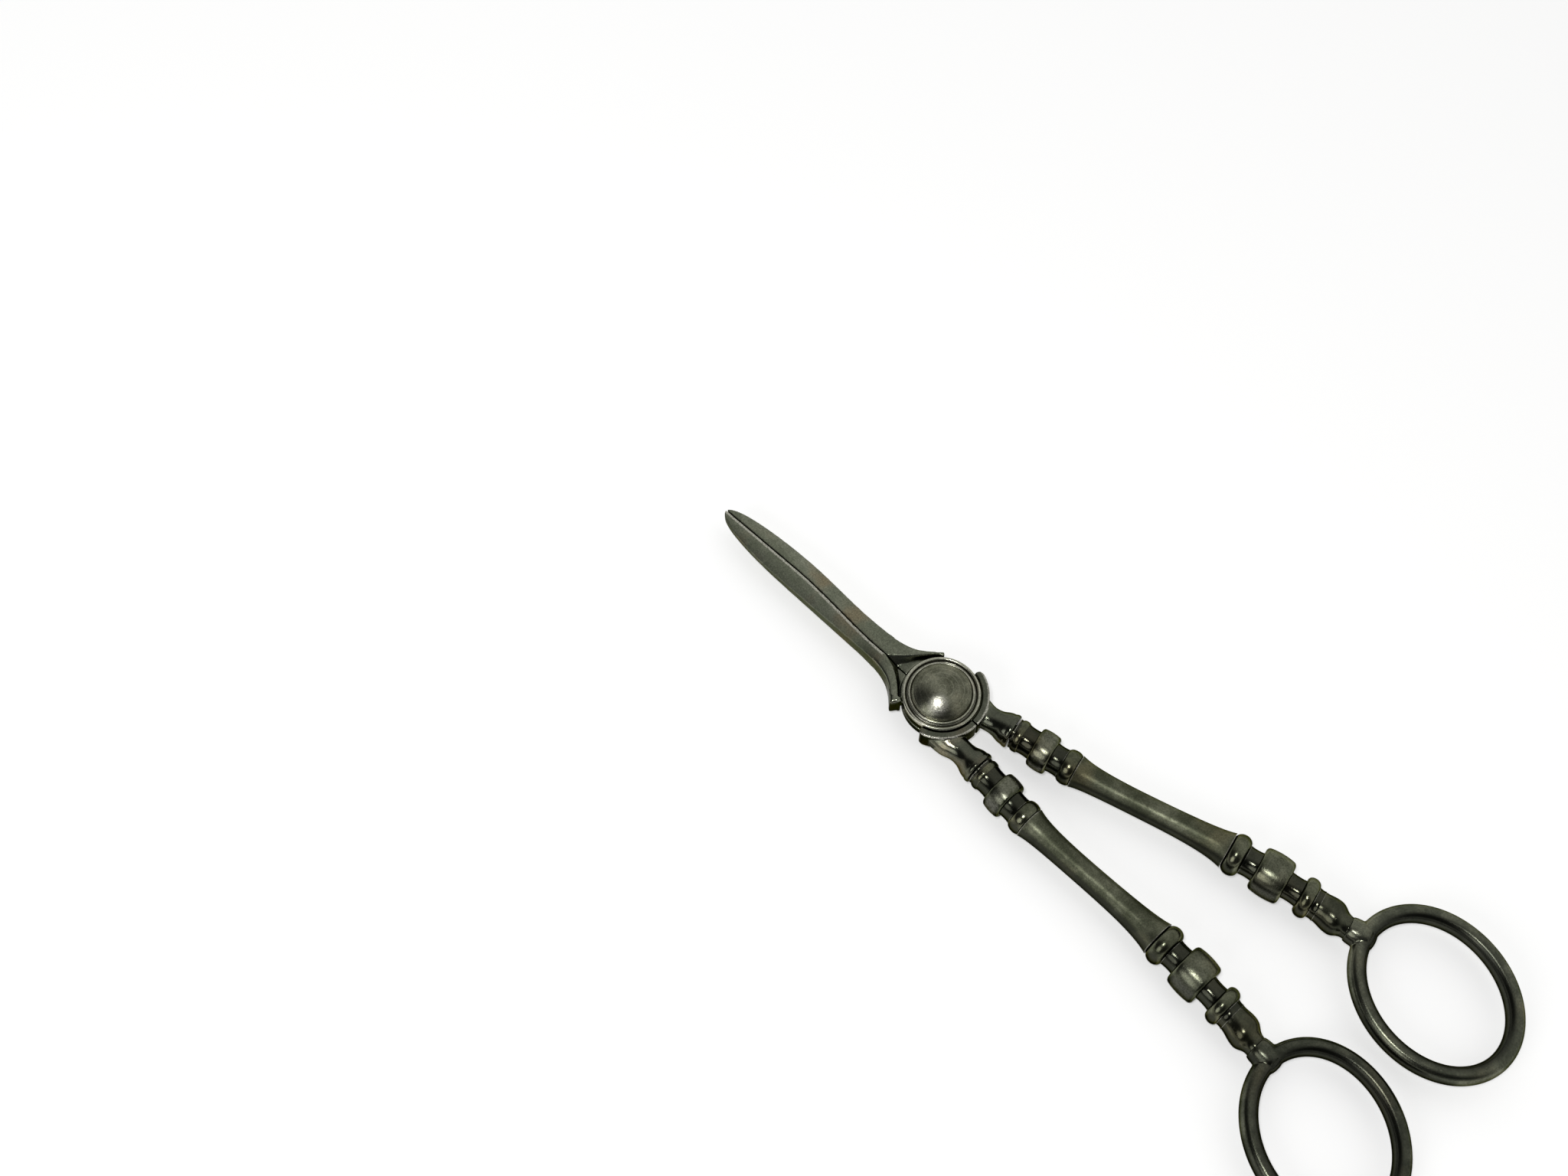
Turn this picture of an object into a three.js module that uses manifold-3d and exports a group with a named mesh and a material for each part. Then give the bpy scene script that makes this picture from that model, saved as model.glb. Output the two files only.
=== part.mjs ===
// Grape shears: two blades lapped on a domed pivot, each with a turned handle and an oval finger ring.
// Millimetres, +Z up. The shears lie closed on a flat surface. The origin is on the pivot's axis, on the
// flat back of its pin; the blades point along -X, and the handles open out along +X.
import * as THREE from 'three';
import { LoftGeometry } from 'three/addons/geometries/LoftGeometry.js';
import { mergeVertices } from 'three/addons/utils/BufferGeometryUtils.js';
import Module from 'manifold-3d';

// Fits
const CLEARANCE = 0.3; // gap between pieces that seat or turn on each other

// Lap joint: each blade carries one round plate, and the two plates turn face to face on the pin
const PLATE_RADIUS = 7.8; // and of the collar that covers them
const PLATE_THICKNESS = 1.9;
const JOINT_THICKNESS = 5.2; // blade roots, shoulders and stops
const RIM_WIDTH = 1.4; // stops outside the plates
const FRONT_SHOULDER_RADIUS = 10.5;
const FRONT_SHOULDER_ANGLE = 55; // from the blades' line to the square end of the shoulder
const BACK_SHOULDER_RADIUS = 9.2;
const BACK_SHOULDER_ANGLE = 52.5;
const STOP_ANGLE = 77; // from the handles' line to the end of each stop
const STOP_ROUND = 8; // how much of that angle the rounded corner of the end takes

// Hollow at the fork of the blade roots
const HOLLOW_REACH = 14;
const HOLLOW_FLOOR = 1.2; // above the middle of the joint
const HOLLOW_RIM = 0.5; // how far its two ends lie outside the plates' seat
const HOLLOW_WAIST_X = 8.6;
const HOLLOW_WAIST_Y = 3;
const HOLLOW_ANGLE = 48;

// Blades, as a closed pair
const BLADE_REACH = 59.4;
const BLADE_BELLY_AT = 40;
const BLADE_BELLY_WIDTH = 7;
const BLADE_WAIST_AT = 20;
const BLADE_WAIST_WIDTH = 6;
const BLADE_SET = 0.6; // how far the pair's waist lies to the front blade's side
const BLADE_TIP_FULLNESS = 2.2; // how blunt the tip is
const BLADE_TIP_EASE = 10; // how far the belly's curve runs on towards the tip
const BLADE_SIDE_EASE = 7; // how softly the belly runs into the waist
const BLADE_ROOT_X = 9.5; // where the root flares out to the shoulder
const BLADE_ROOT_Y = 3.9;
const BLADE_FLARE_EASE = 8.5;
const BLADE_TIP_THICKNESS = 2;
const BLADE_CROWN = 0.75; // how far each face falls from the seam to the belly's edge
const BLADE_EDGE = 0.4; // thinnest the crown may leave an edge, as half a thickness
const SEAM_LAP = 0.2; // how far each blade's edge passes over the other
const SEAM_SET = 1.5; // how far the seam lies to the front blade's side at the hollow, none at the belly

// Handle lines, as they spring from the joint: their angle to the blades and their distance from the axis
const RIGHT_HANDLE_ANGLE = 12;
const RIGHT_HANDLE_OFFSET = 1.4;
const LEFT_HANDLE_ANGLE = 3.2;
const LEFT_HANDLE_OFFSET = 4.9;

// The handles aren't quite straight: how far they lie off their line, to the side that the ring leans to
const BARREL_FRONT_BOW = 0.7;
const BARREL_BACK_BOW = -0.55;
const FLANGE_BOW = 0;
const END_BOW = 1.3;

// Flared neck of each blade, which takes the handle's front spigot
const NECK_START = 5; // along the handle's line, inside the joint
const NECK_END = 15.7;
const NECK_ROOT_DIAMETER = 5.8;
const NECK_WAIST_DIAMETER = 5.1;
const NECK_WAIST_AT = 11;
const NECK_FLARE_DIAMETER = 6.7; // where the flare runs into the lip
const NECK_LIP_DIAMETER = 7.1;
const NECK_LIP_LENGTH = 1;

// Turned handle, from the joint to the finger ring
const FRONT_SPIGOT_DIAMETER = 3;
const FRONT_SPIGOT_LENGTH = 4.5;
const GROOVE_DIAMETER = 5.4;
const GROOVE_LENGTH = 0.5;
const SMALL_BEAD_DIAMETER = 6.7;
const SMALL_BEAD_LENGTH = 1.5;
const FIRST_NECK_DIAMETER = 5.9;
const FIRST_NECK_LENGTH = 2.6;
const SMALL_DRUM_DIAMETER = 8.3;
const SMALL_DRUM_LENGTH = 4.1;
const SMALL_DRUM_CHAMFER = 0.4;
const SECOND_NECK_DIAMETER = 5.9;
const SECOND_NECK_LENGTH = 2.4;
const BARREL_BEAD_DIAMETER = 7.3;
const BARREL_BEAD_LENGTH = 2.9;
const BARREL_LENGTH = 32.4;
const BARREL_FRONT_DIAMETER = 6.8;
const BARREL_FRONT_FLARE = 3; // how far the flare at each end reaches along the barrel
const BARREL_WAIST_DIAMETER = 5.1;
const BARREL_WAIST_AT = 13;
const BARREL_BACK_DIAMETER = 7.5;
const BARREL_BACK_FLARE = 4.5;
const END_BEAD_DIAMETER = 8.6;
const END_BEAD_LENGTH = 3.5;
const THIRD_NECK_DIAMETER = 5.8;
const THIRD_NECK_LENGTH = 2.7;
const LARGE_DRUM_DIAMETER = 9.4;
const LARGE_DRUM_LENGTH = 6.3;
const LARGE_DRUM_CHAMFER = 0.9;
const FOURTH_NECK_DIAMETER = 5.3;
const FOURTH_NECK_LENGTH = 3;
const FLANGE_DIAMETER = 8.2;
const FLANGE_LENGTH = 2.8;
const FIFTH_NECK_DIAMETER = 6.1;
const FIFTH_NECK_LENGTH = 1.3;
const VASE_DIAMETER = 6.9;
const VASE_LENGTH = 6.4;
const END_NECK_DIAMETER = 4.6;
const END_NECK_LENGTH = 0.8;
const BACK_SPIGOT_DIAMETER = 2.2;
const BACK_SPIGOT_LENGTH = 1.8;

// Finger ring: an oval of rounded wire on a short foot
const RING_HOLE_LENGTH = 28.8;
const RING_HOLE_WIDTH = 22.8;
const WIRE_WIDTH = 3.7;
const WIRE_HEIGHT = 4.6;
const RING_LEAN = 24; // between the oval's long axis and the handle's line
const RING_SIDE = 4; // from the handle's line to the oval's centre
const FOOT_LENGTH = 2.7; // from the handle's end to the middle of the wire
const FOOT_DIAMETER = 5.4;

// Pivot
const PIN_DIAMETER = 4;
const PIN_HEAD_DIAMETER = 11;
const PIN_CHAMFER = 0.3;
const WASHER_DIAMETER = 13.6;
const WASHER_THICKNESS = 0.8;
const COLLAR_RIM_HEIGHT = 0.9;
const COLLAR_RIM_WIDTH = 0.8;
const COLLAR_GROOVE_WIDTH = 0.45;
const COLLAR_GROOVE_DEPTH = 0.3;
const COLLAR_STEP_WIDTH = 0.6;
const COLLAR_HEIGHT = 1.4;
const DOME_DIAMETER = 11.8;
const DOME_RIM_HEIGHT = 0.3;
const DOME_HEIGHT = 2.4; // above the collar
const DOME_THREAD_DEPTH = 1.4;

// How finely round shapes are divided
const ROUND_SIDES = 36;
const TURNED_SIDES = 20;
const WIRE_SIDES = 10;
const RING_STEPS = 40;
const ARC_STEPS = 12;
const BEAD_STEPS = 4;
const BARREL_STEPS = 5;
const BLADE_STEPS = 20;

// Worked out from the sizes above
const degrees = THREE.MathUtils.degToRad;
const pivotHeight = LARGE_DRUM_DIAMETER / 2; // the handles' drums and the pin's head share the surface
const halfJoint = JOINT_THICKNESS / 2;
const lapFace = CLEARANCE / 2; // half the gap between the two plates
const plateTop = lapFace + PLATE_THICKNESS;
const seatRadius = PLATE_RADIUS + CLEARANCE;
const rimRadius = seatRadius + RIM_WIDTH;
const blankHalf = Math.max(FRONT_SHOULDER_RADIUS, BACK_SHOULDER_RADIUS, rimRadius);
const handleStart = NECK_END + CLEARANCE;
const boreDiameter = PIN_DIAMETER + 2 * CLEARANCE;

const blackenedSilver = { color: 0x4c4a3c, roughness: 0.38, metalness: 1 };
const darkSilver = { color: 0x45432f, roughness: 0.36, metalness: 1 };
const wornSteel = { color: 0x5f6054, roughness: 0.46, metalness: 1 };
const polishedSilver = { color: 0x6c6a55, roughness: 0.28, metalness: 1 };

const wasm = await Module();
wasm.setup();

// A three.js geometry as a closed solid that can be joined and cut.
function solid(geometry) {
  const bare = new THREE.BufferGeometry();
  bare.setAttribute('position', geometry.getAttribute('position'));
  bare.setIndex(geometry.index);
  const merged = mergeVertices(bare);
  const corners = [];
  const index = merged.index.array;
  for (let i = 0; i < index.length; i += 3) {
    const [a, b, c] = index.slice(i, i + 3);
    if (a !== b && b !== c && c !== a) corners.push(a, b, c);
  }
  return new wasm.Manifold(new wasm.Mesh({
    numProp: 3,
    vertProperties: merged.attributes.position.array,
    triVerts: new Uint32Array(corners),
  }));
}

// A named mesh of a joined or cut solid.
function pieceOf(name, shape, finish) {
  const { vertProperties, triVerts } = shape.getMesh();
  const geometry = new THREE.BufferGeometry();
  geometry.setAttribute('position', new THREE.BufferAttribute(vertProperties, 3));
  geometry.setIndex(new THREE.BufferAttribute(triVerts, 1));
  geometry.computeVertexNormals();
  const mesh = new THREE.Mesh(geometry, new THREE.MeshStandardMaterial(finish));
  mesh.name = name;
  return mesh;
}

// A flat outline, drawn in X and Y, as a slab between two heights.
function slab(shape, low, high) {
  const geometry = new THREE.ExtrudeGeometry(shape, {
    depth: high - low,
    bevelEnabled: false,
    curveSegments: ARC_STEPS,
  });
  return solid(geometry.translate(0, 0, low));
}

// A profile of [radius, height] points turned about Z.
function turnedUpright(profile, sides) {
  const points = profile.map(([radius, height]) => new THREE.Vector2(radius, height));
  return solid(new THREE.LatheGeometry(points, sides).rotateX(Math.PI / 2));
}

// A profile of points, with the distance along the axis as Y, turned about X. `bowAt` gives how far to the
// side the axis lies at each distance.
function turnedAlong(points, bowAt = () => 0) {
  const geometry = new THREE.LatheGeometry(points, TURNED_SIDES).rotateZ(-Math.PI / 2);
  const position = geometry.getAttribute('position');
  for (let i = 0; i < position.count; i += 1) {
    position.setY(i, position.getY(i) + bowAt(position.getX(i)));
  }
  return solid(geometry);
}

function disc(radius, low, high) {
  return turnedUpright([[0, low], [radius, low], [radius, high], [0, high]], ROUND_SIDES);
}

function rod(diameter, from, to, bowAt) {
  const radius = diameter / 2;
  const points = [[0, from], [radius, from], [radius, to], [0, to]];
  return turnedAlong(points.map(([x, y]) => new THREE.Vector2(x, y)), bowAt);
}

// The outline of both blades together, from one shoulder round the tip to the other.
function bladeOutline({ shoulderRadius, shoulderAngle, bladeSet }) {
  const shoulder = degrees(180 - shoulderAngle);
  const [shoulderX, shoulderY] = [shoulderRadius * Math.cos(shoulder), shoulderRadius * Math.sin(shoulder)];
  const belly = BLADE_BELLY_WIDTH / 2;
  const high = bladeSet + BLADE_WAIST_WIDTH / 2;
  const low = bladeSet - BLADE_WAIST_WIDTH / 2;
  const tipSide = BLADE_BELLY_AT + BLADE_TIP_EASE;
  const bellySide = BLADE_BELLY_AT - BLADE_SIDE_EASE;
  const waistSide = BLADE_WAIST_AT + BLADE_SIDE_EASE;
  const flareSide = BLADE_WAIST_AT - BLADE_FLARE_EASE;
  const shape = new THREE.Shape();
  shape.moveTo(0, 0);
  shape.lineTo(shoulderX, shoulderY);
  shape.bezierCurveTo(-BLADE_ROOT_X, bladeSet + BLADE_ROOT_Y, -flareSide, high, -BLADE_WAIST_AT, high);
  shape.bezierCurveTo(-waistSide, high, -bellySide, belly, -BLADE_BELLY_AT, belly);
  shape.bezierCurveTo(-tipSide, belly, -BLADE_REACH, BLADE_TIP_FULLNESS, -BLADE_REACH, 0);
  shape.bezierCurveTo(-BLADE_REACH, -BLADE_TIP_FULLNESS, -tipSide, -belly, -BLADE_BELLY_AT, -belly);
  shape.bezierCurveTo(-bellySide, -belly, -waistSide, low, -BLADE_WAIST_AT, low);
  shape.bezierCurveTo(-flareSide, low, -BLADE_ROOT_X, bladeSet - BLADE_ROOT_Y, shoulderX, -shoulderY);
  return shape;
}

// The room the blades are cut from: it thins towards the tip, and its faces fall away from the seam.
function bladeCrown() {
  const [belly, reach] = [BLADE_BELLY_WIDTH / 2, BLADE_REACH + BLADE_EDGE];
  const inner = [-belly, -2 * belly / 3, -belly / 3, 0, belly / 3, 2 * belly / 3, belly];
  const across = [-blankHalf, ...inner, blankHalf];
  const sections = [];
  for (let step = 0; step <= BLADE_STEPS; step += 1) {
    const x = -reach * step / BLADE_STEPS;
    const thin = THREE.MathUtils.clamp((-x - HOLLOW_REACH) / (BLADE_REACH - HOLLOW_REACH), 0, 1);
    const half = THREE.MathUtils.lerp(JOINT_THICKNESS, BLADE_TIP_THICKNESS, thin) / 2;
    const fall = BLADE_CROWN * THREE.MathUtils.smoothstep(-x, HOLLOW_REACH / 2, BLADE_WAIST_AT);
    const heights = across.map((y) => Math.max(half - fall * (y / belly) ** 2, BLADE_EDGE));
    const top = across.map((y, i) => new THREE.Vector3(x, y, heights[i]));
    const bottom = across.map((y, i) => new THREE.Vector3(x, y, -heights[i])).reverse();
    sections.push([...top, ...bottom]);
  }
  return solid(new LoftGeometry(sections, { capStart: true, capEnd: true }));
}

// One blade's share of the closed pair: its edge passes over the seam above the lap and stops short below.
function bladeShare({ seamSet }) {
  const [side, end] = [2 * blankHalf, 2 * BLADE_REACH];
  const seamAt = (x) => seamSet * (1 - THREE.MathUtils.smoothstep(x, HOLLOW_REACH, BLADE_BELLY_AT));
  const below = (lap) => {
    const shape = new THREE.Shape();
    shape.moveTo(side, -side);
    shape.lineTo(side, seamSet + lap - lapFace);
    for (let step = 0; step <= ARC_STEPS; step += 1) {
      const x = THREE.MathUtils.lerp(HOLLOW_REACH, BLADE_BELLY_AT, step / ARC_STEPS);
      shape.lineTo(-x, seamAt(x) + lap - lapFace);
    }
    shape.lineTo(-end, lap - lapFace);
    shape.lineTo(-end, -side);
    return shape;
  };
  const over = slab(below(SEAM_LAP), lapFace, JOINT_THICKNESS);
  const under = slab(below(-SEAM_LAP), -JOINT_THICKNESS, JOINT_THICKNESS);
  return over.add(under);
}

// The stop: a wedge from the axis to the rim; its first side lies half a clearance off the handles' line.
function stopWedge() {
  const slip = Math.asin(lapFace / rimRadius);
  const end = degrees(STOP_ANGLE);
  const [across, along] = [Math.cos(end), Math.sin(end)];
  const shape = new THREE.Shape();
  shape.moveTo(0, 0);
  shape.absarc(0, 0, rimRadius, slip, end - degrees(STOP_ROUND), false);
  shape.quadraticCurveTo(rimRadius * across, rimRadius * along, seatRadius * across, seatRadius * along);
  shape.closePath();
  return slab(shape, -halfJoint, halfJoint);
}

// The hollow between the blade roots, round the plates' seat: it runs out to a point on the seam.
function forkHollow({ seamSet }) {
  const angle = degrees(HOLLOW_ANGLE);
  const radius = seatRadius + HOLLOW_RIM;
  const [x, y] = [radius * Math.cos(angle), radius * Math.sin(angle)];
  const shape = new THREE.Shape();
  shape.moveTo(-x, y);
  shape.quadraticCurveTo(-HOLLOW_WAIST_X, HOLLOW_WAIST_Y, -HOLLOW_REACH, seamSet);
  shape.quadraticCurveTo(-HOLLOW_WAIST_X, -HOLLOW_WAIST_Y, -x, -y);
  shape.closePath();
  const over = slab(shape, HOLLOW_FLOOR, JOINT_THICKNESS).subtract(disc(seatRadius, lapFace, plateTop));
  const under = slab(shape, -JOINT_THICKNESS, -HOLLOW_FLOOR);
  return over.add(under);
}

// Moves a solid made along X to a handle's line.
function toHandleLine(shape, half) {
  const angle = degrees(half.angle);
  const at = [-half.offset * Math.sin(angle), half.offset * Math.cos(angle), 0];
  return shape.rotate([0, 0, half.angle]).translate(at);
}

// Points of a rounded swelling or lip that stands on a smaller diameter.
function beadPoints(from, length, diameter, baseDiameter) {
  const [base, rise] = [baseDiameter / 2, (diameter - baseDiameter) / 2];
  const middle = from + length / 2;
  const curve = new THREE.EllipseCurve(base, middle, rise, length / 2, -Math.PI / 2, Math.PI / 2);
  return curve.getPoints(BEAD_STEPS);
}

// A smooth run between two diameters that leaves and arrives parallel to the axis.
function easedPoints(from, to, startDiameter, endDiameter) {
  const middle = (from + to) / 2;
  const curve = new THREE.CubicBezierCurve(
    new THREE.Vector2(startDiameter / 2, from),
    new THREE.Vector2(startDiameter / 2, middle),
    new THREE.Vector2(endDiameter / 2, middle),
    new THREE.Vector2(endDiameter / 2, to),
  );
  return curve.getPoints(BEAD_STEPS);
}

function bladeNeck() {
  const lipStart = NECK_END - NECK_LIP_LENGTH;
  return turnedAlong([
    new THREE.Vector2(0, NECK_START),
    ...easedPoints(NECK_START, NECK_WAIST_AT, NECK_ROOT_DIAMETER, NECK_WAIST_DIAMETER),
    ...easedPoints(NECK_WAIST_AT, lipStart, NECK_WAIST_DIAMETER, NECK_FLARE_DIAMETER).slice(1),
    ...beadPoints(lipStart, NECK_LIP_LENGTH, NECK_LIP_DIAMETER, NECK_FLARE_DIAMETER).slice(1),
    new THREE.Vector2(0, NECK_END),
  ]);
}

// One blade with its plate, shoulder, stop and neck, about the middle of the joint.
function makeBlade(name, half) {
  const socketStart = NECK_END - FRONT_SPIGOT_LENGTH - CLEARANCE;
  const socket = rod(FRONT_SPIGOT_DIAMETER + 2 * CLEARANCE, socketStart, NECK_END + CLEARANCE);
  let shape = slab(bladeOutline(half), -halfJoint, halfJoint);
  shape = shape.intersect(bladeCrown()).intersect(bladeShare(half));
  shape = shape.add(stopWedge());
  shape = shape.add(toHandleLine(bladeNeck(), half));
  shape = shape.subtract(disc(seatRadius, -JOINT_THICKNESS, lapFace));
  shape = shape.subtract(disc(seatRadius, plateTop, JOINT_THICKNESS));
  shape = shape.add(disc(PLATE_RADIUS, lapFace, plateTop));
  shape = shape.subtract(forkHollow(half));
  shape = shape.subtract(disc(boreDiameter / 2, -JOINT_THICKNESS, JOINT_THICKNESS));
  shape = shape.subtract(toHandleLine(socket, half));
  return pieceOf(name, shape, wornSteel);
}

// The turned handle's profile, as lengths laid end to end from its front spigot.
function handleProfile() {
  const points = [new THREE.Vector2(0, handleStart - FRONT_SPIGOT_LENGTH)];
  let at = handleStart - FRONT_SPIGOT_LENGTH;
  const plain = (length, diameter) => {
    points.push(new THREE.Vector2(diameter / 2, at), new THREE.Vector2(diameter / 2, at + length));
    at += length;
  };
  const bead = (length, diameter, baseDiameter) => {
    points.push(...beadPoints(at, length, diameter, baseDiameter));
    at += length;
  };
  const drum = (length, diameter, chamfer) => {
    const [radius, top] = [diameter / 2, length - chamfer];
    points.push(new THREE.Vector2(radius - chamfer, at));
    points.push(new THREE.Vector2(radius, at + chamfer));
    points.push(new THREE.Vector2(radius, at + top));
    points.push(new THREE.Vector2(radius - chamfer, at + length));
    at += length;
  };
  const eased = (length, startDiameter, endDiameter) => {
    points.push(...easedPoints(at, at + length, startDiameter, endDiameter));
    at += length;
  };
  // The flare leaves one end steeply and settles to the barrel's waist at the other
  const flare = (length, knee, startDiameter, endDiameter) => {
    points.push(...new THREE.QuadraticBezierCurve(
      new THREE.Vector2(startDiameter / 2, at),
      new THREE.Vector2(BARREL_WAIST_DIAMETER / 2, at + knee),
      new THREE.Vector2(endDiameter / 2, at + length),
    ).getPoints(BARREL_STEPS));
    at += length;
  };
  const barrelBack = BARREL_LENGTH - BARREL_WAIST_AT;
  plain(FRONT_SPIGOT_LENGTH, FRONT_SPIGOT_DIAMETER);
  plain(GROOVE_LENGTH, GROOVE_DIAMETER);
  bead(SMALL_BEAD_LENGTH, SMALL_BEAD_DIAMETER, GROOVE_DIAMETER);
  plain(FIRST_NECK_LENGTH, FIRST_NECK_DIAMETER);
  drum(SMALL_DRUM_LENGTH, SMALL_DRUM_DIAMETER, SMALL_DRUM_CHAMFER);
  plain(SECOND_NECK_LENGTH, SECOND_NECK_DIAMETER);
  bead(BARREL_BEAD_LENGTH, BARREL_BEAD_DIAMETER, SECOND_NECK_DIAMETER);
  const barrelStart = at;
  flare(BARREL_WAIST_AT, BARREL_FRONT_FLARE, BARREL_FRONT_DIAMETER, BARREL_WAIST_DIAMETER);
  flare(barrelBack, barrelBack - BARREL_BACK_FLARE, BARREL_WAIST_DIAMETER, BARREL_BACK_DIAMETER);
  const barrelEnd = at;
  bead(END_BEAD_LENGTH, END_BEAD_DIAMETER, THIRD_NECK_DIAMETER);
  plain(THIRD_NECK_LENGTH, THIRD_NECK_DIAMETER);
  drum(LARGE_DRUM_LENGTH, LARGE_DRUM_DIAMETER, LARGE_DRUM_CHAMFER);
  plain(FOURTH_NECK_LENGTH, FOURTH_NECK_DIAMETER);
  const flangeMiddle = at + FLANGE_LENGTH / 2;
  bead(FLANGE_LENGTH, FLANGE_DIAMETER, FIFTH_NECK_DIAMETER);
  plain(FIFTH_NECK_LENGTH, FIFTH_NECK_DIAMETER);
  eased(VASE_LENGTH / 2, FIFTH_NECK_DIAMETER, VASE_DIAMETER);
  eased(VASE_LENGTH / 2, VASE_DIAMETER, END_NECK_DIAMETER);
  plain(END_NECK_LENGTH, END_NECK_DIAMETER);
  const end = at;
  plain(BACK_SPIGOT_LENGTH, BACK_SPIGOT_DIAMETER);
  points.push(new THREE.Vector2(0, at));
  const distinct = points.filter((point, i) => i === 0 || point.distanceTo(points[i - 1]) > 0);
  const bow = new THREE.CubicInterpolant(
    [NECK_END, barrelStart, barrelEnd, flangeMiddle, end],
    [0, BARREL_FRONT_BOW, BARREL_BACK_BOW, FLANGE_BOW, END_BOW],
    1,
  );
  return { points: distinct, end, bow };
}

// The finger ring in its handle's line. `turn` says to which side it leans.
function makeRing(name, handleEnd, turn, bowAt) {
  const [longAxis, shortAxis] = [(RING_HOLE_LENGTH + WIRE_WIDTH) / 2, (RING_HOLE_WIDTH + WIRE_WIDTH) / 2];
  const [lean, side] = [degrees(turn * RING_LEAN), turn * RING_SIDE];
  const [cosine, sine] = [Math.cos(lean), Math.sin(lean)];
  // Where the handle's line meets the middle of the wire, measured back from the oval's centre
  const square = (cosine / longAxis) ** 2 + (sine / shortAxis) ** 2;
  const cross = side * cosine * sine * (1 / longAxis ** 2 - 1 / shortAxis ** 2);
  const rest = (side * sine / longAxis) ** 2 + (side * cosine / shortAxis) ** 2 - 1;
  const reach = (Math.sqrt(cross ** 2 - square * rest) - cross) / square;
  const footEnd = handleEnd + CLEARANCE + FOOT_LENGTH;
  const centre = footEnd + reach;
  const sections = [];
  for (let step = 0; step <= RING_STEPS; step += 1) {
    const around = 2 * Math.PI * (step % RING_STEPS) / RING_STEPS;
    const middle = new THREE.Vector3(longAxis * Math.cos(around), shortAxis * Math.sin(around), 0);
    const outward = new THREE.Vector3(middle.x / longAxis ** 2, middle.y / shortAxis ** 2, 0).normalize();
    const section = [];
    for (let corner = 0; corner < WIRE_SIDES; corner += 1) {
      const turnedBy = -2 * Math.PI * corner / WIRE_SIDES;
      const point = middle.clone().addScaledVector(outward, WIRE_WIDTH / 2 * Math.cos(turnedBy));
      point.z = WIRE_HEIGHT / 2 * Math.sin(turnedBy);
      section.push(point);
    }
    sections.push(section);
  }
  const wire = solid(new LoftGeometry(sections).rotateZ(lean).translate(centre, side, 0));
  const footStart = handleEnd + CLEARANCE;
  const foot = turnedAlong([
    new THREE.Vector2(0, footStart),
    ...beadPoints(footStart, FOOT_LENGTH, FOOT_DIAMETER, END_NECK_DIAMETER),
    new THREE.Vector2(0, footEnd),
  ], bowAt);
  const socketEnd = handleEnd + BACK_SPIGOT_LENGTH + CLEARANCE;
  const socket = rod(BACK_SPIGOT_DIAMETER + 2 * CLEARANCE, handleEnd, socketEnd, bowAt);
  return pieceOf(name, wire.add(foot).subtract(socket), darkSilver);
}

// A handle and its ring, in a group turned to the handle's line.
function makeGrip(side, half) {
  const { points, end, bow } = handleProfile();
  const bowAt = (x) => half.ringTurn * bow.evaluate(x)[0];
  const grip = new THREE.Group();
  const angle = degrees(half.angle);
  grip.rotation.z = angle;
  grip.position.set(-half.offset * Math.sin(angle), half.offset * Math.cos(angle), 0);
  grip.add(pieceOf(`${side}_handle`, turnedAlong(points, bowAt), blackenedSilver));
  grip.add(makeRing(`${side}_finger_ring`, end, half.ringTurn, bowAt));
  return grip;
}

// The pivot's pieces stand on the surface that the shears lie on.
const washerLow = pivotHeight - plateTop - CLEARANCE - WASHER_THICKNESS;
const collarLow = pivotHeight + plateTop;
const collarTop = collarLow + COLLAR_HEIGHT;
const domeTop = collarTop + DOME_HEIGHT;

function makePin() {
  const [head, shank] = [PIN_HEAD_DIAMETER / 2, PIN_DIAMETER / 2];
  const top = collarTop + DOME_THREAD_DEPTH - CLEARANCE;
  return pieceOf('pivot_pin', turnedUpright([
    [0, 0],
    [head - PIN_CHAMFER, 0],
    [head, PIN_CHAMFER],
    [head, washerLow],
    [shank, washerLow],
    [shank, top],
    [0, top],
  ], ROUND_SIDES), wornSteel);
}

// A plain or moulded ring turned about the pivot's axis: its profile closes at the bore.
function makeRound(name, profile, bore, boreTop, finish) {
  const low = profile[0][1];
  const cut = disc(bore, low - CLEARANCE, boreTop);
  return pieceOf(name, turnedUpright(profile, ROUND_SIDES).subtract(cut), finish);
}

function makeWasher() {
  const top = washerLow + WASHER_THICKNESS;
  const radius = WASHER_DIAMETER / 2;
  const profile = [[0, washerLow], [radius, washerLow], [radius, top], [0, top]];
  return makeRound('back_washer', profile, boreDiameter / 2, top + CLEARANCE, blackenedSilver);
}

function makeCollar() {
  const rim = PLATE_RADIUS;
  const groove = rim - COLLAR_RIM_WIDTH;
  const step = groove - COLLAR_GROOVE_WIDTH;
  const rimTop = collarLow + COLLAR_RIM_HEIGHT;
  const grooveFloor = rimTop - COLLAR_GROOVE_DEPTH;
  const crown = new THREE.EllipseCurve(
    rim - COLLAR_RIM_WIDTH / 2,
    rimTop - COLLAR_RIM_WIDTH / 2,
    COLLAR_RIM_WIDTH / 2,
    COLLAR_RIM_WIDTH / 2,
    0,
    Math.PI,
  ).getPoints(BEAD_STEPS).map(({ x, y }) => [x, y]);
  const profile = [
    [0, collarLow],
    [rim, collarLow],
    ...crown,
    [groove, grooveFloor],
    [step, grooveFloor],
    [step, rimTop],
    [step - COLLAR_STEP_WIDTH, collarTop],
    [0, collarTop],
  ].filter((point, i, all) => i === 0 || point.some((value, axis) => value !== all[i - 1][axis]));
  return makeRound('stepped_collar', profile, boreDiameter / 2, collarTop + CLEARANCE, polishedSilver);
}

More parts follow.
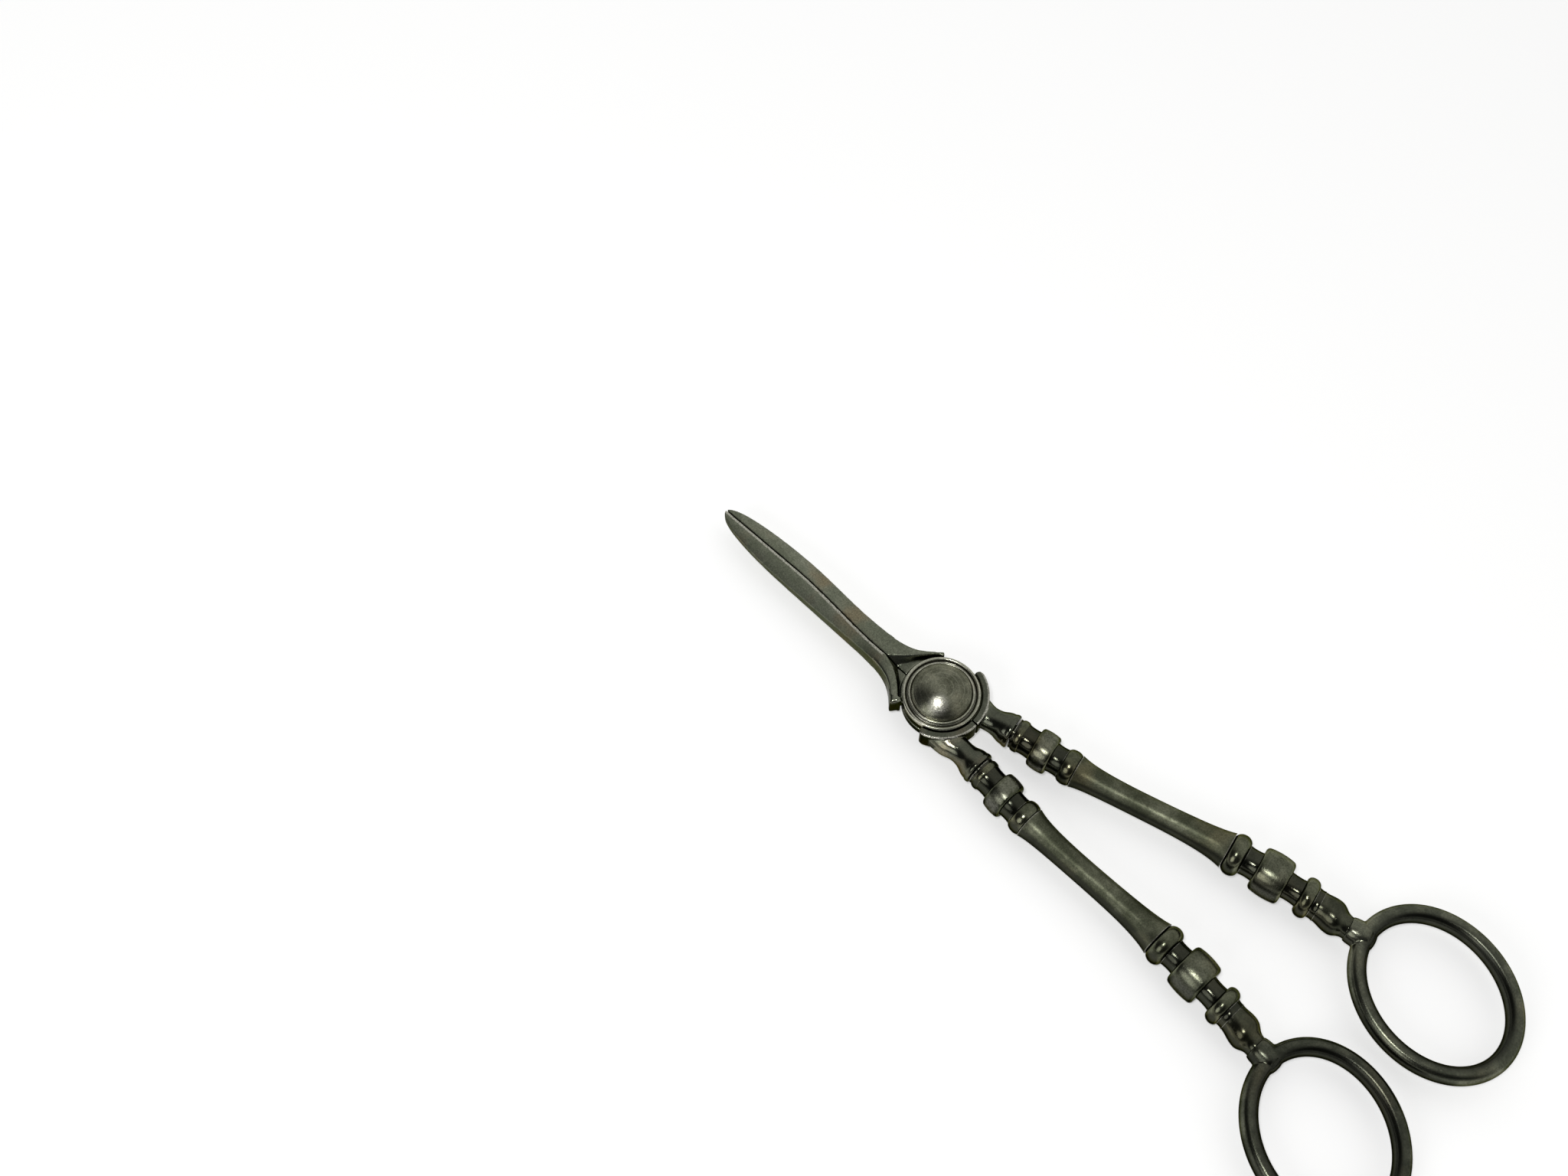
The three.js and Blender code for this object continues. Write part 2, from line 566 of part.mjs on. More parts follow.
function makeDome() {
  const radius = DOME_DIAMETER / 2;
  const rise = DOME_HEIGHT - DOME_RIM_HEIGHT;
  const sphere = (radius ** 2 + rise ** 2) / (2 * rise);
  const edge = Math.asin((sphere - rise) / sphere);
  const arc = new THREE.EllipseCurve(0, domeTop - sphere, sphere, sphere, edge, Math.PI / 2);
  const cap = arc.getPoints(2 * BEAD_STEPS).map(({ x, y }) => [x, y]);
  cap[cap.length - 1] = [0, domeTop];
  const profile = [[0, collarTop], [radius, collarTop], ...cap];
  return makeRound('dome_nut', profile, boreDiameter / 2, collarTop + DOME_THREAD_DEPTH, polishedSilver);
}

// The right handle belongs to the front blade and the left handle to the back blade. The back half is
// made like the front one and turned over. Both rings lean the same way when seen from the front.
const front = {
  angle: RIGHT_HANDLE_ANGLE,
  offset: RIGHT_HANDLE_OFFSET,
  shoulderRadius: FRONT_SHOULDER_RADIUS,
  shoulderAngle: FRONT_SHOULDER_ANGLE,
  bladeSet: -BLADE_SET,
  seamSet: -SEAM_SET,
  ringTurn: -1,
};
const back = {
  angle: LEFT_HANDLE_ANGLE,
  offset: LEFT_HANDLE_OFFSET,
  shoulderRadius: BACK_SHOULDER_RADIUS,
  shoulderAngle: BACK_SHOULDER_ANGLE,
  bladeSet: BLADE_SET,
  seamSet: SEAM_SET,
  ringTurn: 1,
};

const frontHalf = new THREE.Group();
frontHalf.position.z = pivotHeight;
frontHalf.add(makeBlade('front_blade', front));
frontHalf.add(makeGrip('right', front));

const backHalf = new THREE.Group();
backHalf.position.z = pivotHeight;
backHalf.rotation.x = Math.PI;
backHalf.add(makeBlade('back_blade', back));
backHalf.add(makeGrip('left', back));

const grapeShears = new THREE.Group();
grapeShears.add(frontHalf, backHalf, makePin(), makeWasher(), makeCollar(), makeDome());

export default grapeShears;
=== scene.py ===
# %% [markdown]
# Grape shears, dressed for a picture
#
# These are table shears for cutting sprigs from a bunch of grapes: two short blades lapped on a
# domed pivot, two turned handles and two oval finger rings, all in old silver that has gone dark.
# The solids of every piece already exist. This script loads them as a fixed frame and models a
# finer version of each piece exactly where its solid is, so the sizes below repeat the part's own.
# Lengths are in millimetres and angles in degrees, unless a line says otherwise.

# %% Load the frame
from math import asin, atan2, cos, degrees, dist, hypot, pi, radians, sin, sqrt

import bmesh
import bpy
from mathutils import Matrix, Vector, geometry


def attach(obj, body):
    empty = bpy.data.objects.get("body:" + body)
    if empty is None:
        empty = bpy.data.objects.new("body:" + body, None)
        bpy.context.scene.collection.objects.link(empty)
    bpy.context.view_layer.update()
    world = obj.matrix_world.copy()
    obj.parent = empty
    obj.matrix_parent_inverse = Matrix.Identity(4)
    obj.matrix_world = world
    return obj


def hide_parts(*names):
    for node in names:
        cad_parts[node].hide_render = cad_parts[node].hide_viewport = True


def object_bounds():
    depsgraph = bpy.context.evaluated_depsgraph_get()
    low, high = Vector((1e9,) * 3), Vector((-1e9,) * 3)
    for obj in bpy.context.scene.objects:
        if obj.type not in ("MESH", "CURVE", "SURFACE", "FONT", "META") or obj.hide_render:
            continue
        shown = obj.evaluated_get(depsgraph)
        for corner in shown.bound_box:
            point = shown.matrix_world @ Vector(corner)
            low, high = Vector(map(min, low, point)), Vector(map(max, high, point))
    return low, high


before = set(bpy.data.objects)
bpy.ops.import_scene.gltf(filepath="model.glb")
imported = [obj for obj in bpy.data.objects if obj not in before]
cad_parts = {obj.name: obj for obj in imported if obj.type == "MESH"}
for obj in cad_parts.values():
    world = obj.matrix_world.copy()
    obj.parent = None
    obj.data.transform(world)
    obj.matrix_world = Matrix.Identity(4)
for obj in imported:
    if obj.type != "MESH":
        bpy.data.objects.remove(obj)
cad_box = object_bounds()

MM = 0.001  # shapes are drawn in millimetres and end up in metres
scene = bpy.context.scene
print("nodes:", ", ".join(sorted(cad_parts)))
print("solids reach from and to", [[round(v / MM, 2) for v in corner] for corner in cad_box])

# %% [markdown]
# The camera
#
# The photograph looks down at the shears from about 65 degrees, with the blades pointing to the
# upper left. A camera could be placed by eye, but here its place was worked out from the known
# shape: a plain 50 mm lens at 44 cm, aimed at a point beside the blades, because the shears lie in
# the lower right of the frame.

# %% Place the camera
PIVOT_HEIGHT = 4.7  # middle of the joint, above the surface
VIEW_TARGET = Vector((-38.98, -4.05, PIVOT_HEIGHT)) * MM


def placed(name, data):
    """A new object in the scene."""
    thing = bpy.data.objects.new(name, data)
    scene.collection.objects.link(thing)
    return thing


def aim(thing, yaw, elevation, distance):
    """Stands a camera or lamp off the target, in metres, looking at it."""
    turn, rise = radians(yaw), radians(elevation)
    level = cos(rise)
    away = Vector((sin(turn) * level, -cos(turn) * level, sin(rise)))
    thing.location = VIEW_TARGET + away * distance
    thing.rotation_euler = away.to_track_quat("Z", "Y").to_euler()


lens = bpy.data.cameras.new("photo_camera")
lens.lens = 50
lens.sensor_width = 36
camera = placed("photo_camera", lens)
aim(camera, yaw=43.86, elevation=65.0, distance=0.44)
scene.camera = camera
scene.view_settings.view_transform = "Standard"
print("camera at", [round(v, 4) for v in camera.location])

# %% [markdown]
# Node helpers
#
# Every finish below is a tree of shader nodes. Adding a node takes three steps in Blender: make it,
# set its options, then fill or link its sockets. One small helper does all three, so that each
# finish reads as a list. A second one makes the smooth step of a mask.


# %% Helpers that add nodes
def add_node(tree, kind, sockets=None, **options):
    """Adds a node; a socket takes a number, a colour or another node's output."""
    node = tree.nodes.new("ShaderNode" + kind)
    for option, value in options.items():
        setattr(node, option, value)
    for name, value in (sockets or {}).items():
        if isinstance(value, bpy.types.NodeSocket):
            tree.links.new(value, node.inputs[name])
        else:
            node.inputs[name].default_value = value
    return node


def ramp(tree, value, low, high, start=0.0, end=1.0):
    """A smooth step from start to end while the value goes from low to high."""
    limits = {"From Min": low, "From Max": high, "To Min": start, "To Max": end}
    node = add_node(tree, "MapRange", {"Value": value, **limits}, interpolation_type="SMOOTHSTEP")
    return node.outputs[0]


def empty_material(name):
    """A material with nothing in its tree."""
    material = bpy.data.materials.new(name)
    material.use_nodes = True
    material.node_tree.nodes.clear()
    return material, material.node_tree


print("nodes: one helper for all kinds, and one for ramps")

# %% [markdown]
# The paper and the light
#
# The shears were photographed on plain white paper. A white floor under even light gives that
# background and keeps the soft shadow that seats them. Polished metal shows what is round it rather
# than a colour of its own, so the room matters: its walls are pale, a dim screen hangs over the
# near side, a small lamp close to the camera makes the glints on every bead, and a wide softbox in
# front draws the long arcs on the rims.

# %% Floor
FLOOR_WHITE = (0.93, 0.93, 0.93, 1)
FLOOR_LIFT = 0.45  # share of the white that the paper keeps in shadow


def mesh_of(bm, name):
    """A mesh from a bmesh, which is used up."""
    mesh = bpy.data.meshes.new(name)
    bm.to_mesh(mesh)
    bm.free()
    return mesh


sheet = bmesh.new()
bmesh.ops.create_grid(sheet, x_segments=1, y_segments=1, size=3.0)
bmesh.ops.translate(sheet, verts=sheet.verts, vec=(0, 0, cad_box[0].z))
floor = placed("paper_floor", mesh_of(sheet, "paper_floor"))

paper, tree = empty_material("white_paper")
white = add_node(tree, "BsdfDiffuse", {"Color": FLOOR_WHITE})
ray = add_node(tree, "LightPath").outputs
seen = add_node(tree, "Math", {0: ray["Is Camera Ray"], 1: ray["Is Glossy Ray"]}, operation="ADD")
lift = add_node(tree, "Math", {0: seen.outputs[0], 1: FLOOR_LIFT}, operation="MULTIPLY")
glow = add_node(tree, "Emission", {"Color": FLOOR_WHITE, "Strength": lift.outputs[0]})
both = add_node(tree, "AddShader", {0: white.outputs[0], 1: glow.outputs[0]})
add_node(tree, "OutputMaterial", {"Surface": both.outputs[0]})
floor.data.materials.append(paper)
print("floor at height", round(cad_box[0].z / MM, 3), "mm")


# %% Lamps and room
def softbox(name, width, radiance, yaw, elevation, distance):
    """A disc lamp; a sunlit white card has a radiance of 1."""
    lamp = bpy.data.lights.new(name, "AREA")
    lamp.shape = "DISK"
    lamp.size = width
    lamp.energy = radiance * pi * pi * (width / 2) ** 2
    aim(placed(name, lamp), yaw, elevation, distance)


softbox("glint_lamp", width=0.085, radiance=62, yaw=24, elevation=71, distance=0.7)
softbox("rim_softbox", width=0.5, radiance=1.8, yaw=2, elevation=38, distance=0.9)

ROOM_DIM = (0.045, 0.046, 0.048, 1)
ROOM_PALE = (0.66, 0.66, 0.65, 1)
SCREEN_EDGE = (-0.32, 0.26)  # Y of directions between which the dim screen ends
HORIZON = (0.16, 0.32)  # Z of directions below which all is pale
world = bpy.data.worlds.new("studio_room")
scene.world = world
world.use_nodes = True
tree = world.node_tree
tree.nodes.clear()
where = add_node(tree, "TexCoord").outputs["Generated"]
towards = add_node(tree, "SeparateXYZ", {"Vector": where}).outputs
across = ramp(tree, towards["Y"], *SCREEN_EDGE)
level = ramp(tree, towards["Z"], *HORIZON, start=1.0, end=0.0)
pale = add_node(tree, "Math", {0: across, 1: level}, operation="MAXIMUM").outputs[0]
room = add_node(tree, "Mix", {0: pale, 6: ROOM_DIM, 7: ROOM_PALE}, data_type="RGBA").outputs[2]
glow = add_node(tree, "Background", {"Color": room, "Strength": 1.0})
add_node(tree, "OutputWorld", {"Surface": glow.outputs[0]})
print("lamps:", [lamp.name for lamp in bpy.data.lights])

# %% [markdown]
# Tarnished silver
#
# Old silver is never one colour. A dark sulphide film covers it, olive to brown where it is thin;
# handling rubs the film off the high edges, and soot-black dirt stays in the grooves where no cloth
# reaches. Each of those is a mask. Noise makes the film, and two occlusion lookups find the hollows
# and the edges; the hollows are darkened as dirt and as painted shade. Three values stored on the
# mesh add to that: grime and painted shade in the necks, walls and the ring's inner side, satin on
# the long plain runs, and wear with painted highlights on the drums, the seam, the stop's lip and
# the dome. The walls that face the near side get painted shade too. An image texture could hold all
# that, but nodes stay sharp at any distance and need no unwrapping.


# %% Small helpers for masks
def noise_at(tree, vector, scale, detail, roughness):
    """Grey noise; the scale counts its features per millimetre."""
    sockets = {"Vector": vector, "Scale": scale, "Detail": detail, "Roughness": roughness}
    return add_node(tree, "TexNoise", sockets).outputs[0]


def openness(tree, distance, inside=False):
    """How open the space before a place is, or the metal behind it."""
    node = add_node(tree, "AmbientOcclusion", {"Distance": distance * MM},
                    samples=8, inside=inside, only_local=True)
    return node.outputs["AO"]


def maths(tree, operation, *values):
    """One step of arithmetic, kept between 0 and 1."""
    node = add_node(tree, "Math", dict(enumerate(values)), operation=operation, use_clamp=True)
    return node.outputs[0]


def blend(tree, share, below, above):
    """One colour over another, by a mask."""
    return add_node(tree, "Mix", {0: share, 6: below, 7: above}, data_type="RGBA").outputs[2]


def stored(tree, name):
    """A value kept on the mesh's vertices; 0 where a mesh has none."""
    return add_node(tree, "Attribute", attribute_name=name).outputs["Fac"]


def lines_on(tree, spot, turn, scale):
    """Coordinates on which noise makes lines at an angle, or with None round the pin."""
    if turn is None:
        level = add_node(tree, "VectorMath", {0: spot, 1: (1, 1, 0)}, operation="MULTIPLY")
        out = add_node(tree, "VectorMath", {0: level.outputs[0]}, operation="LENGTH")
        base = add_node(tree, "CombineXYZ", {"X": out.outputs["Value"]})
    else:
        base = add_node(tree, "Mapping", {"Vector": spot, "Rotation": (0, 0, radians(-turn))})
    return add_node(tree, "Mapping", {"Vector": base.outputs[0], "Scale": scale}).outputs[0]


print("masks: noise, openness, stored values and lines")

# %% One finish for every silver piece
CLOUD = (0.22, 5, 0.6)  # noise where the film is thick or thin: scale, detail, roughness
BLOTCH = (0.11, 3, 0.5)  # brown stains
GRAIN = (3.4, 4, 0.65)  # the skin of the metal
SCRATCH = (1.0, 3, 0.7)  # on coordinates that are drawn out
HOLLOW_LOOK = 1.4  # how far the lookup for hollows reaches
EDGE_LOOK = 0.35  # and the one for edges
# near black, for dirt and for painted shade
DIRT_AND_SHADE = (0.027, 0.028, 0.023, 1)
# bright silver, for worn edges and for painted highlights
WORN_AND_HIGHLIGHT = (0.62, 0.61, 0.53, 1)
GRAZING = (0.3, 0.3, 0.26, 1)  # what the film leaves of a reflection at a shallow angle
SATIN = 0.15  # how much rougher the long plain runs are
RELIEF = 0.04  # depth of grain and scratches


def tarnished_silver(name, bare, film, stain, polish, marks_scale, marks_turn=0.0, marks=0.4,
                     rubbing=0.8, flank=0.85):
    """A metal finish. The marks are fine scratches; flank paints shade on the walls that face the
    near side.
    """
    material, tree = empty_material(name)
    coordinates = add_node(tree, "TexCoord").outputs
    in_mm = {"Vector": coordinates["Object"], "Scale": (1 / MM, 1 / MM, 1 / MM)}
    spot = add_node(tree, "Mapping", in_mm).outputs[0]
    lined = lines_on(tree, spot, marks_turn, marks_scale)
    cloud = noise_at(tree, spot, *CLOUD)
    blotch = noise_at(tree, spot, *BLOTCH)
    grain = noise_at(tree, spot, *GRAIN)
    scratch = noise_at(tree, lined, *SCRATCH)
    scratch = ramp(tree, scratch, 0.68 - 0.2 * marks, 0.8 - 0.1 * marks)
    hollow = openness(tree, HOLLOW_LOOK)
    edge = openness(tree, EDGE_LOOK, inside=True)
    facing = add_node(tree, "SeparateXYZ", {"Vector": coordinates["Normal"]}).outputs["Y"]

    # Dirt and painted shade: the hollows that the occlusion lookup finds are darkened.
    soot_and_shade = ramp(tree, hollow, 0.35, 0.85, start=0.9, end=0.0)
    # The stored grime and painted shade.
    soot_and_shade = maths(tree, "MAXIMUM", soot_and_shade, stored(tree, "grime_and_shade"))
    # Painted shade: walls whose normal faces the near side are darkened by flank.
    soot_and_shade = maths(tree, "MAXIMUM", soot_and_shade, ramp(tree, facing, -0.86, -0.64, start=flank, end=0.0))
    # Edge wear from the occlusion lookup, joined by the stored wear and painted highlights.
    worn_and_highlit = ramp(tree, edge, 0.3, 0.75, start=rubbing, end=0.0)
    # The stored wear and painted highlights.
    worn_and_highlit = maths(tree, "MAXIMUM", worn_and_highlit, stored(tree, "wear_and_highlight"))
    worn_and_highlit = maths(tree, "MULTIPLY", worn_and_highlit, ramp(tree, grain, 0.36, 0.56, start=0.25))

    colour = blend(tree, ramp(tree, cloud, 0.36, 0.68, end=0.7), film, bare)
    colour = blend(tree, ramp(tree, blotch, 0.5, 0.74, end=0.6), colour, stain)
    colour = blend(tree, maths(tree, "MULTIPLY", scratch, marks), colour, bare)
    speckled = {0: colour, "Scale": ramp(tree, grain, 0.3, 0.7, start=0.72, end=1.28)}
    colour = add_node(tree, "VectorMath", speckled, operation="SCALE").outputs[0]
    # Dirt and painted shade in hollows, necks and walls, and painted shade on the near side.
    colour = blend(tree, soot_and_shade, colour, DIRT_AND_SHADE)
    colour = blend(tree, worn_and_highlit, colour, WORN_AND_HIGHLIGHT)

    gloss = ramp(tree, cloud, 0.3, 0.7, start=polish + 0.05, end=polish - 0.03)
    gloss = maths(tree, "MULTIPLY_ADD", stored(tree, "satin"), SATIN, gloss)
    relief = maths(tree, "MULTIPLY_ADD", scratch, -marks, grain)
    bump = add_node(tree, "Bump", {"Strength": 0.3, "Distance": RELIEF * MM, "Height": relief})
    metal = add_node(tree, "BsdfPrincipled", {
        "Base Color": colour, "Metallic": 1.0, "Roughness": gloss, "Specular Tint": GRAZING,
        "Normal": bump.outputs[0]})
    add_node(tree, "OutputMaterial", {"Surface": metal.outputs[0]})
    return material


# %% The finishes
RIGHT_ANGLE = 12.0  # each handle's line, turned from the blades' line
LEFT_ANGLE = 3.2
LENGTHWISE = (0.25, 9.0, 9.0)  # fine scratches run along X
CROSSWISE = (7.0, 0.6, 0.6)  # lathe marks run round the handle
LEVEL = (1.5, 1.5, 6.0)  # marks on the wire lie level
ROUND_PIN = (2.6, 1, 1)  # marks for each millimetre away from the pin

blade_steel = tarnished_silver(
    "worn_blade", bare=(0.275, 0.285, 0.22, 1), film=(0.16, 0.175, 0.125, 1),
    stain=(0.225, 0.162, 0.08, 1), polish=0.2, marks_scale=LENGTHWISE, rubbing=0.3, flank=0.3)
handle_look = {
    "bare": (0.2, 0.208, 0.145, 1), "film": (0.07, 0.076, 0.048, 1),
    "stain": (0.128, 0.11, 0.052, 1), "polish": 0.19, "marks_scale": CROSSWISE, "rubbing": 0.6}
right_silver = tarnished_silver("blackened_silver_right", marks_turn=RIGHT_ANGLE, **handle_look)
left_silver = tarnished_silver("blackened_silver_left", marks_turn=-LEFT_ANGLE, **handle_look)
ring_look = {"polish": 0.22, "marks_scale": LEVEL, "rubbing": 0.2}
right_ring_silver = tarnished_silver(
    "dark_ring_silver_right", bare=(0.2, 0.206, 0.152, 1), film=(0.08, 0.086, 0.063, 1),
    stain=(0.118, 0.104, 0.058, 1), **ring_look)
left_ring_silver = tarnished_silver(
    "dark_ring_silver_left", bare=(0.125, 0.13, 0.096, 1), film=(0.045, 0.049, 0.036, 1),
    stain=(0.08, 0.068, 0.038, 1), **ring_look)
pivot_look = {"marks_scale": ROUND_PIN, "marks_turn": None, "rubbing": 1.0, "flank": 0.0}
dome_silver = tarnished_silver(
    "polished_dome_silver", bare=(0.3, 0.303, 0.228, 1), film=(0.085, 0.088, 0.06, 1),
    stain=(0.15, 0.12, 0.055, 1), polish=0.27, marks=0.9, **pivot_look)
collar_silver = tarnished_silver(
    "worn_collar_silver", bare=(0.62, 0.61, 0.52, 1), film=(0.33, 0.335, 0.26, 1),
    stain=(0.3, 0.26, 0.16, 1), polish=0.2, **pivot_look)
print("finishes:", [material.name for material in bpy.data.materials])

# %% [markdown]
# From a bmesh to a piece
#
# A piece is drawn in millimetres about the middle of the joint, in the line of its own half. One
# matrix then lays it in place: along its handle's line, turned over for the back half, lifted to
# the joint's height and scaled to metres. The matrix goes into the mesh, and the object itself
# stays at the origin, unturned.

# %% Where each half lies
TO_METRES = Matrix.Scale(MM, 4)
FRONT_PLACE = TO_METRES @ Matrix.Translation((0, 0, PIVOT_HEIGHT))
BACK_PLACE = FRONT_PLACE @ Matrix.Rotation(pi, 4, "X")


def handle_line(angle, offset):
    """From a piece drawn along X to the line of a handle, which passes the pin at an offset."""
    turn = radians(angle)
    return (Matrix.Translation((-offset * sin(turn), offset * cos(turn), 0))
            @ Matrix.Rotation(turn, 4, "Z"))


RIGHT_LINE = handle_line(RIGHT_ANGLE, offset=1.4)
LEFT_LINE = handle_line(LEFT_ANGLE, offset=4.9)


def show(name, mesh, finish, body, node):
    """Puts a finished mesh in the scene in place of its solid."""
    mesh.materials.clear()
    mesh.materials.append(finish)
    mesh.name = name
    piece = placed(name, mesh)
    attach(piece, body)
    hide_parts(node)
    mesh.calc_loop_triangles()
    print(f"{name}: {len(mesh.loop_triangles)} triangles on {body}")
    return piece


def faced(bm):
    """Turns all faces of a closed bmesh outwards."""
    bmesh.ops.recalc_face_normals(bm, faces=bm.faces)
    return bm


def mesh_from(bm, place, sharp_angle):
    """Closes a bmesh, lays it in place and shades it smooth but for its sharp edges."""
    bmesh.ops.remove_doubles(bm, verts=bm.verts, dist=0.001)
    bmesh.ops.transform(faced(bm), matrix=place, verts=bm.verts)
    mesh = mesh_of(bm, "piece")
    mesh.shade_smooth()
    mesh.set_sharp_from_angle(angle=radians(sharp_angle))
    return mesh


print("the back half is turned over on the front half")

# %% [markdown]
# Drawing a turned profile
#
# A handle like this was cast or turned as a row of mouldings: beads, drums, necks and one long
# barrel. The lathe's way works in Blender too: draw half the outline once and spin it round the
# axis. A small pen keeps the place along the axis, so that each moulding is one call and the sizes
# read like a turner's notes: first the length, then the diameter.


# %% A pen for turned profiles
class Pen:
    """Draws half an outline; a point is its place, radius, grime with painted shade, satin, and
    wear with painted highlight.
    """

    def __init__(self, start):
        self.at = start
        self.points = [(start, 0.0, 0.0, 0.0, 0.0)]

    def curve(self, length, start_radius, first, second, end_radius, steps,
              grime_and_shade=0.0, satin=0.0, wear_and_highlight=0.0):
        """A Bezier run; handles are (share of length, radius), and grime with painted shade may be
        a function.
        """
        knots = [(self.at, start_radius, 0), (self.at + first[0] * length, first[1], 0),
                 (self.at + second[0] * length, second[1], 0), (self.at + length, end_radius, 0)]
        for p in geometry.interpolate_bezier(*[Vector(k) for k in knots], steps):
            dirt_and_shade = grime_and_shade(p.y) if callable(grime_and_shade) else grime_and_shade
            self.points.append((p.x, p.y, dirt_and_shade, satin, wear_and_highlight))
        self.at += length

    def rod(self, length, diameter):
        """A plain straight run."""
        radius = diameter / 2
        self.curve(length, radius, (0.3, radius), (0.7, radius), radius, steps=3)

    def neck(self, length, diameter, cove=0.12):
        """A short waist, a little hollow between its two ends, darkened by grime and painted shade.
        """
        end = diameter / 2 + cove
        low = diameter / 2 - cove / 3
        self.curve(length, end, (0.2, low), (0.8, low), end, steps=9, grime_and_shade=0.75, satin=-0.4)

    def bead(self, length, diameter, base):
        """A rounded swelling on a smaller diameter, darkened at its foot by dirt and painted shade.
        """
        top = diameter / 2
        low = base / 2
        half = length / 2
        full = 0.55228  # handle length that makes a quarter ellipse
        flank = low + full * (top - low)

        def grime_and_shade(radius):
            return 0.85 * min(max((top - radius) / (top - low), 0), 1) ** 2

        self.curve(half, low, (0, flank), (1 - full, top), top, steps=9, grime_and_shade=grime_and_shade)
        self.curve(half, top, (full, top), (1, flank), low, steps=9, grime_and_shade=grime_and_shade)

    def drum(self, length, diameter, corner, crown, wear_and_highlight):
        """A short drum with rounded corners and a slightly crowned side."""
        top = diameter / 2
        side = top - crown
        high = top + crown / 3
        rest = length - 2 * corner
        self.curve(corner, side - corner, (0, side - corner / 2), (0.5, side), side, steps=6)
        # The drum's side is brightened by wear and a painted highlight.
        self.curve(rest, side, (0.3, high), (0.7, high), side, steps=8, satin=0.4, wear_and_highlight=wear_and_highlight)
        self.curve(corner, side, (0.5, side), (1, side - corner / 2), side - corner, steps=6)

    def close(self):
        """Ends the outline on the axis and drops repeated points."""
        self.points.append((self.at, 0.0, 0.0, 0.0, 0.0))
        kept = [self.points[0]]
        for point in self.points[1:]:
            if dist(point[:2], kept[-1][:2]) > 1e-6:
                kept.append(point)
        return kept


def spin_profile(points, axis, steps):
    """A closed shell: the profile as a chain of edges, turned once round X or Z."""
    bm = bmesh.new()
    layers = [bm.verts.layers.float.new(name) for name in ("grime_and_shade", "satin", "wear_and_highlight")]
    along_x = axis.x > 0
    chain = []
    for distance, radius, *values in points:
        chain.append(bm.verts.new((distance, radius, 0) if along_x else (radius, 0, distance)))
        for layer, value in zip(layers, values):
            chain[-1][layer] = value
    links = [bm.edges.new(pair) for pair in zip(chain, chain[1:])]
    bmesh.ops.spin(bm, geom=chain + links, cent=(0, 0, 0), axis=axis, angle=2 * pi,
                   steps=steps, use_merge=True)
    bmesh.ops.remove_doubles(bm, verts=bm.verts, dist=0.0005)
    return faced(bm)


ALONG = Vector((1, 0, 0))
UPRIGHT = Vector((0, 0, 1))
print("profiles are drawn with a pen and spun")

# %% [markdown]
# The handles
#
# From the joint each handle runs: a spigot inside the blade's neck, a small bead, a small drum, the
# barrel with a bead at each end, a large drum, a flange and a vase that meets the ring. The old
# handles aren't quite straight. Both bow the same way, so after the spin every vertex is moved
# sideways by a smooth curve through a few measured places along the axis.

# %% Sizes of the turned handle
HANDLE_START = 16.0
SPIGOT_LENGTH = 4.5
SPIGOT_DIAMETER = 3.0
GROOVE_DIAMETER = 6.1  # against the lip of the blade's neck
SMALL_WAIST, LARGE_WAIST = 5.9, 5.8  # beside the small and the large drum
BARREL_LENGTH = 32.4
BARREL_WAIST_AT = 13.0
BARREL_FRONT, BARREL_SWEEP, BARREL_WAIST, BARREL_BACK = 3.4, 2.75, 2.55, 3.75  # radii
# The barrel is made a little darker, and satin.
BARREL_LOOK = {"grime_and_shade": 0.1, "satin": 1.3}
FLANGE_LENGTH = 2.8
FLANGE_BASE = 6.1
VASE_HALF = 3.2  # half its length
VASE_BELLY = 3.45  # radius
# painted shade on the vase
VASE_SHADE = 0.5
END_DIAMETER = 4.6
TURNED_STEPS = 72


def handle_profile():
    """The whole handle's outline, with the places where its bow is measured."""
    pen = Pen(HANDLE_START - SPIGOT_LENGTH)
    pen.rod(SPIGOT_LENGTH, SPIGOT_DIAMETER)
    pen.neck(0.5, GROOVE_DIAMETER, cove=0.05)
    pen.bead(1.5, 6.7, base=GROOVE_DIAMETER)
    pen.neck(2.6, SMALL_WAIST)
    pen.drum(4.1, 8.3, corner=0.6, crown=0.12, wear_and_highlight=0.14)
    pen.neck(2.4, SMALL_WAIST)
    pen.bead(2.9, 7.3, base=SMALL_WAIST)
    barrel_start = pen.at
    pen.curve(BARREL_WAIST_AT, BARREL_FRONT, (0.15, BARREL_SWEEP), (0.5, BARREL_WAIST),
              BARREL_WAIST, steps=24, **BARREL_LOOK)
    pen.curve(BARREL_LENGTH - BARREL_WAIST_AT, BARREL_WAIST, (0.5, BARREL_WAIST),
              (0.84, BARREL_SWEEP), BARREL_BACK, steps=28, **BARREL_LOOK)
    barrel_end = pen.at
    pen.bead(3.5, 8.6, base=LARGE_WAIST)
    pen.neck(2.7, LARGE_WAIST)
    pen.drum(6.3, 9.4, corner=0.8, crown=0.2, wear_and_highlight=0.06)
    pen.neck(3.0, 5.3)
    flange_middle = pen.at + FLANGE_LENGTH / 2
    pen.bead(FLANGE_LENGTH, 8.2, base=FLANGE_BASE)
    pen.neck(1.3, FLANGE_BASE)
    pen.curve(VASE_HALF, FLANGE_BASE / 2, (0.4, 3.1), (0.55, VASE_BELLY), VASE_BELLY,
              steps=10, grime_and_shade=VASE_SHADE)
    pen.curve(VASE_HALF, VASE_BELLY, (0.5, VASE_BELLY), (0.55, 2.35), END_DIAMETER / 2,
              steps=10, grime_and_shade=VASE_SHADE)
    pen.neck(0.8, END_DIAMETER, cove=0)
    return pen.close(), (barrel_start, barrel_end, flange_middle, pen.at)


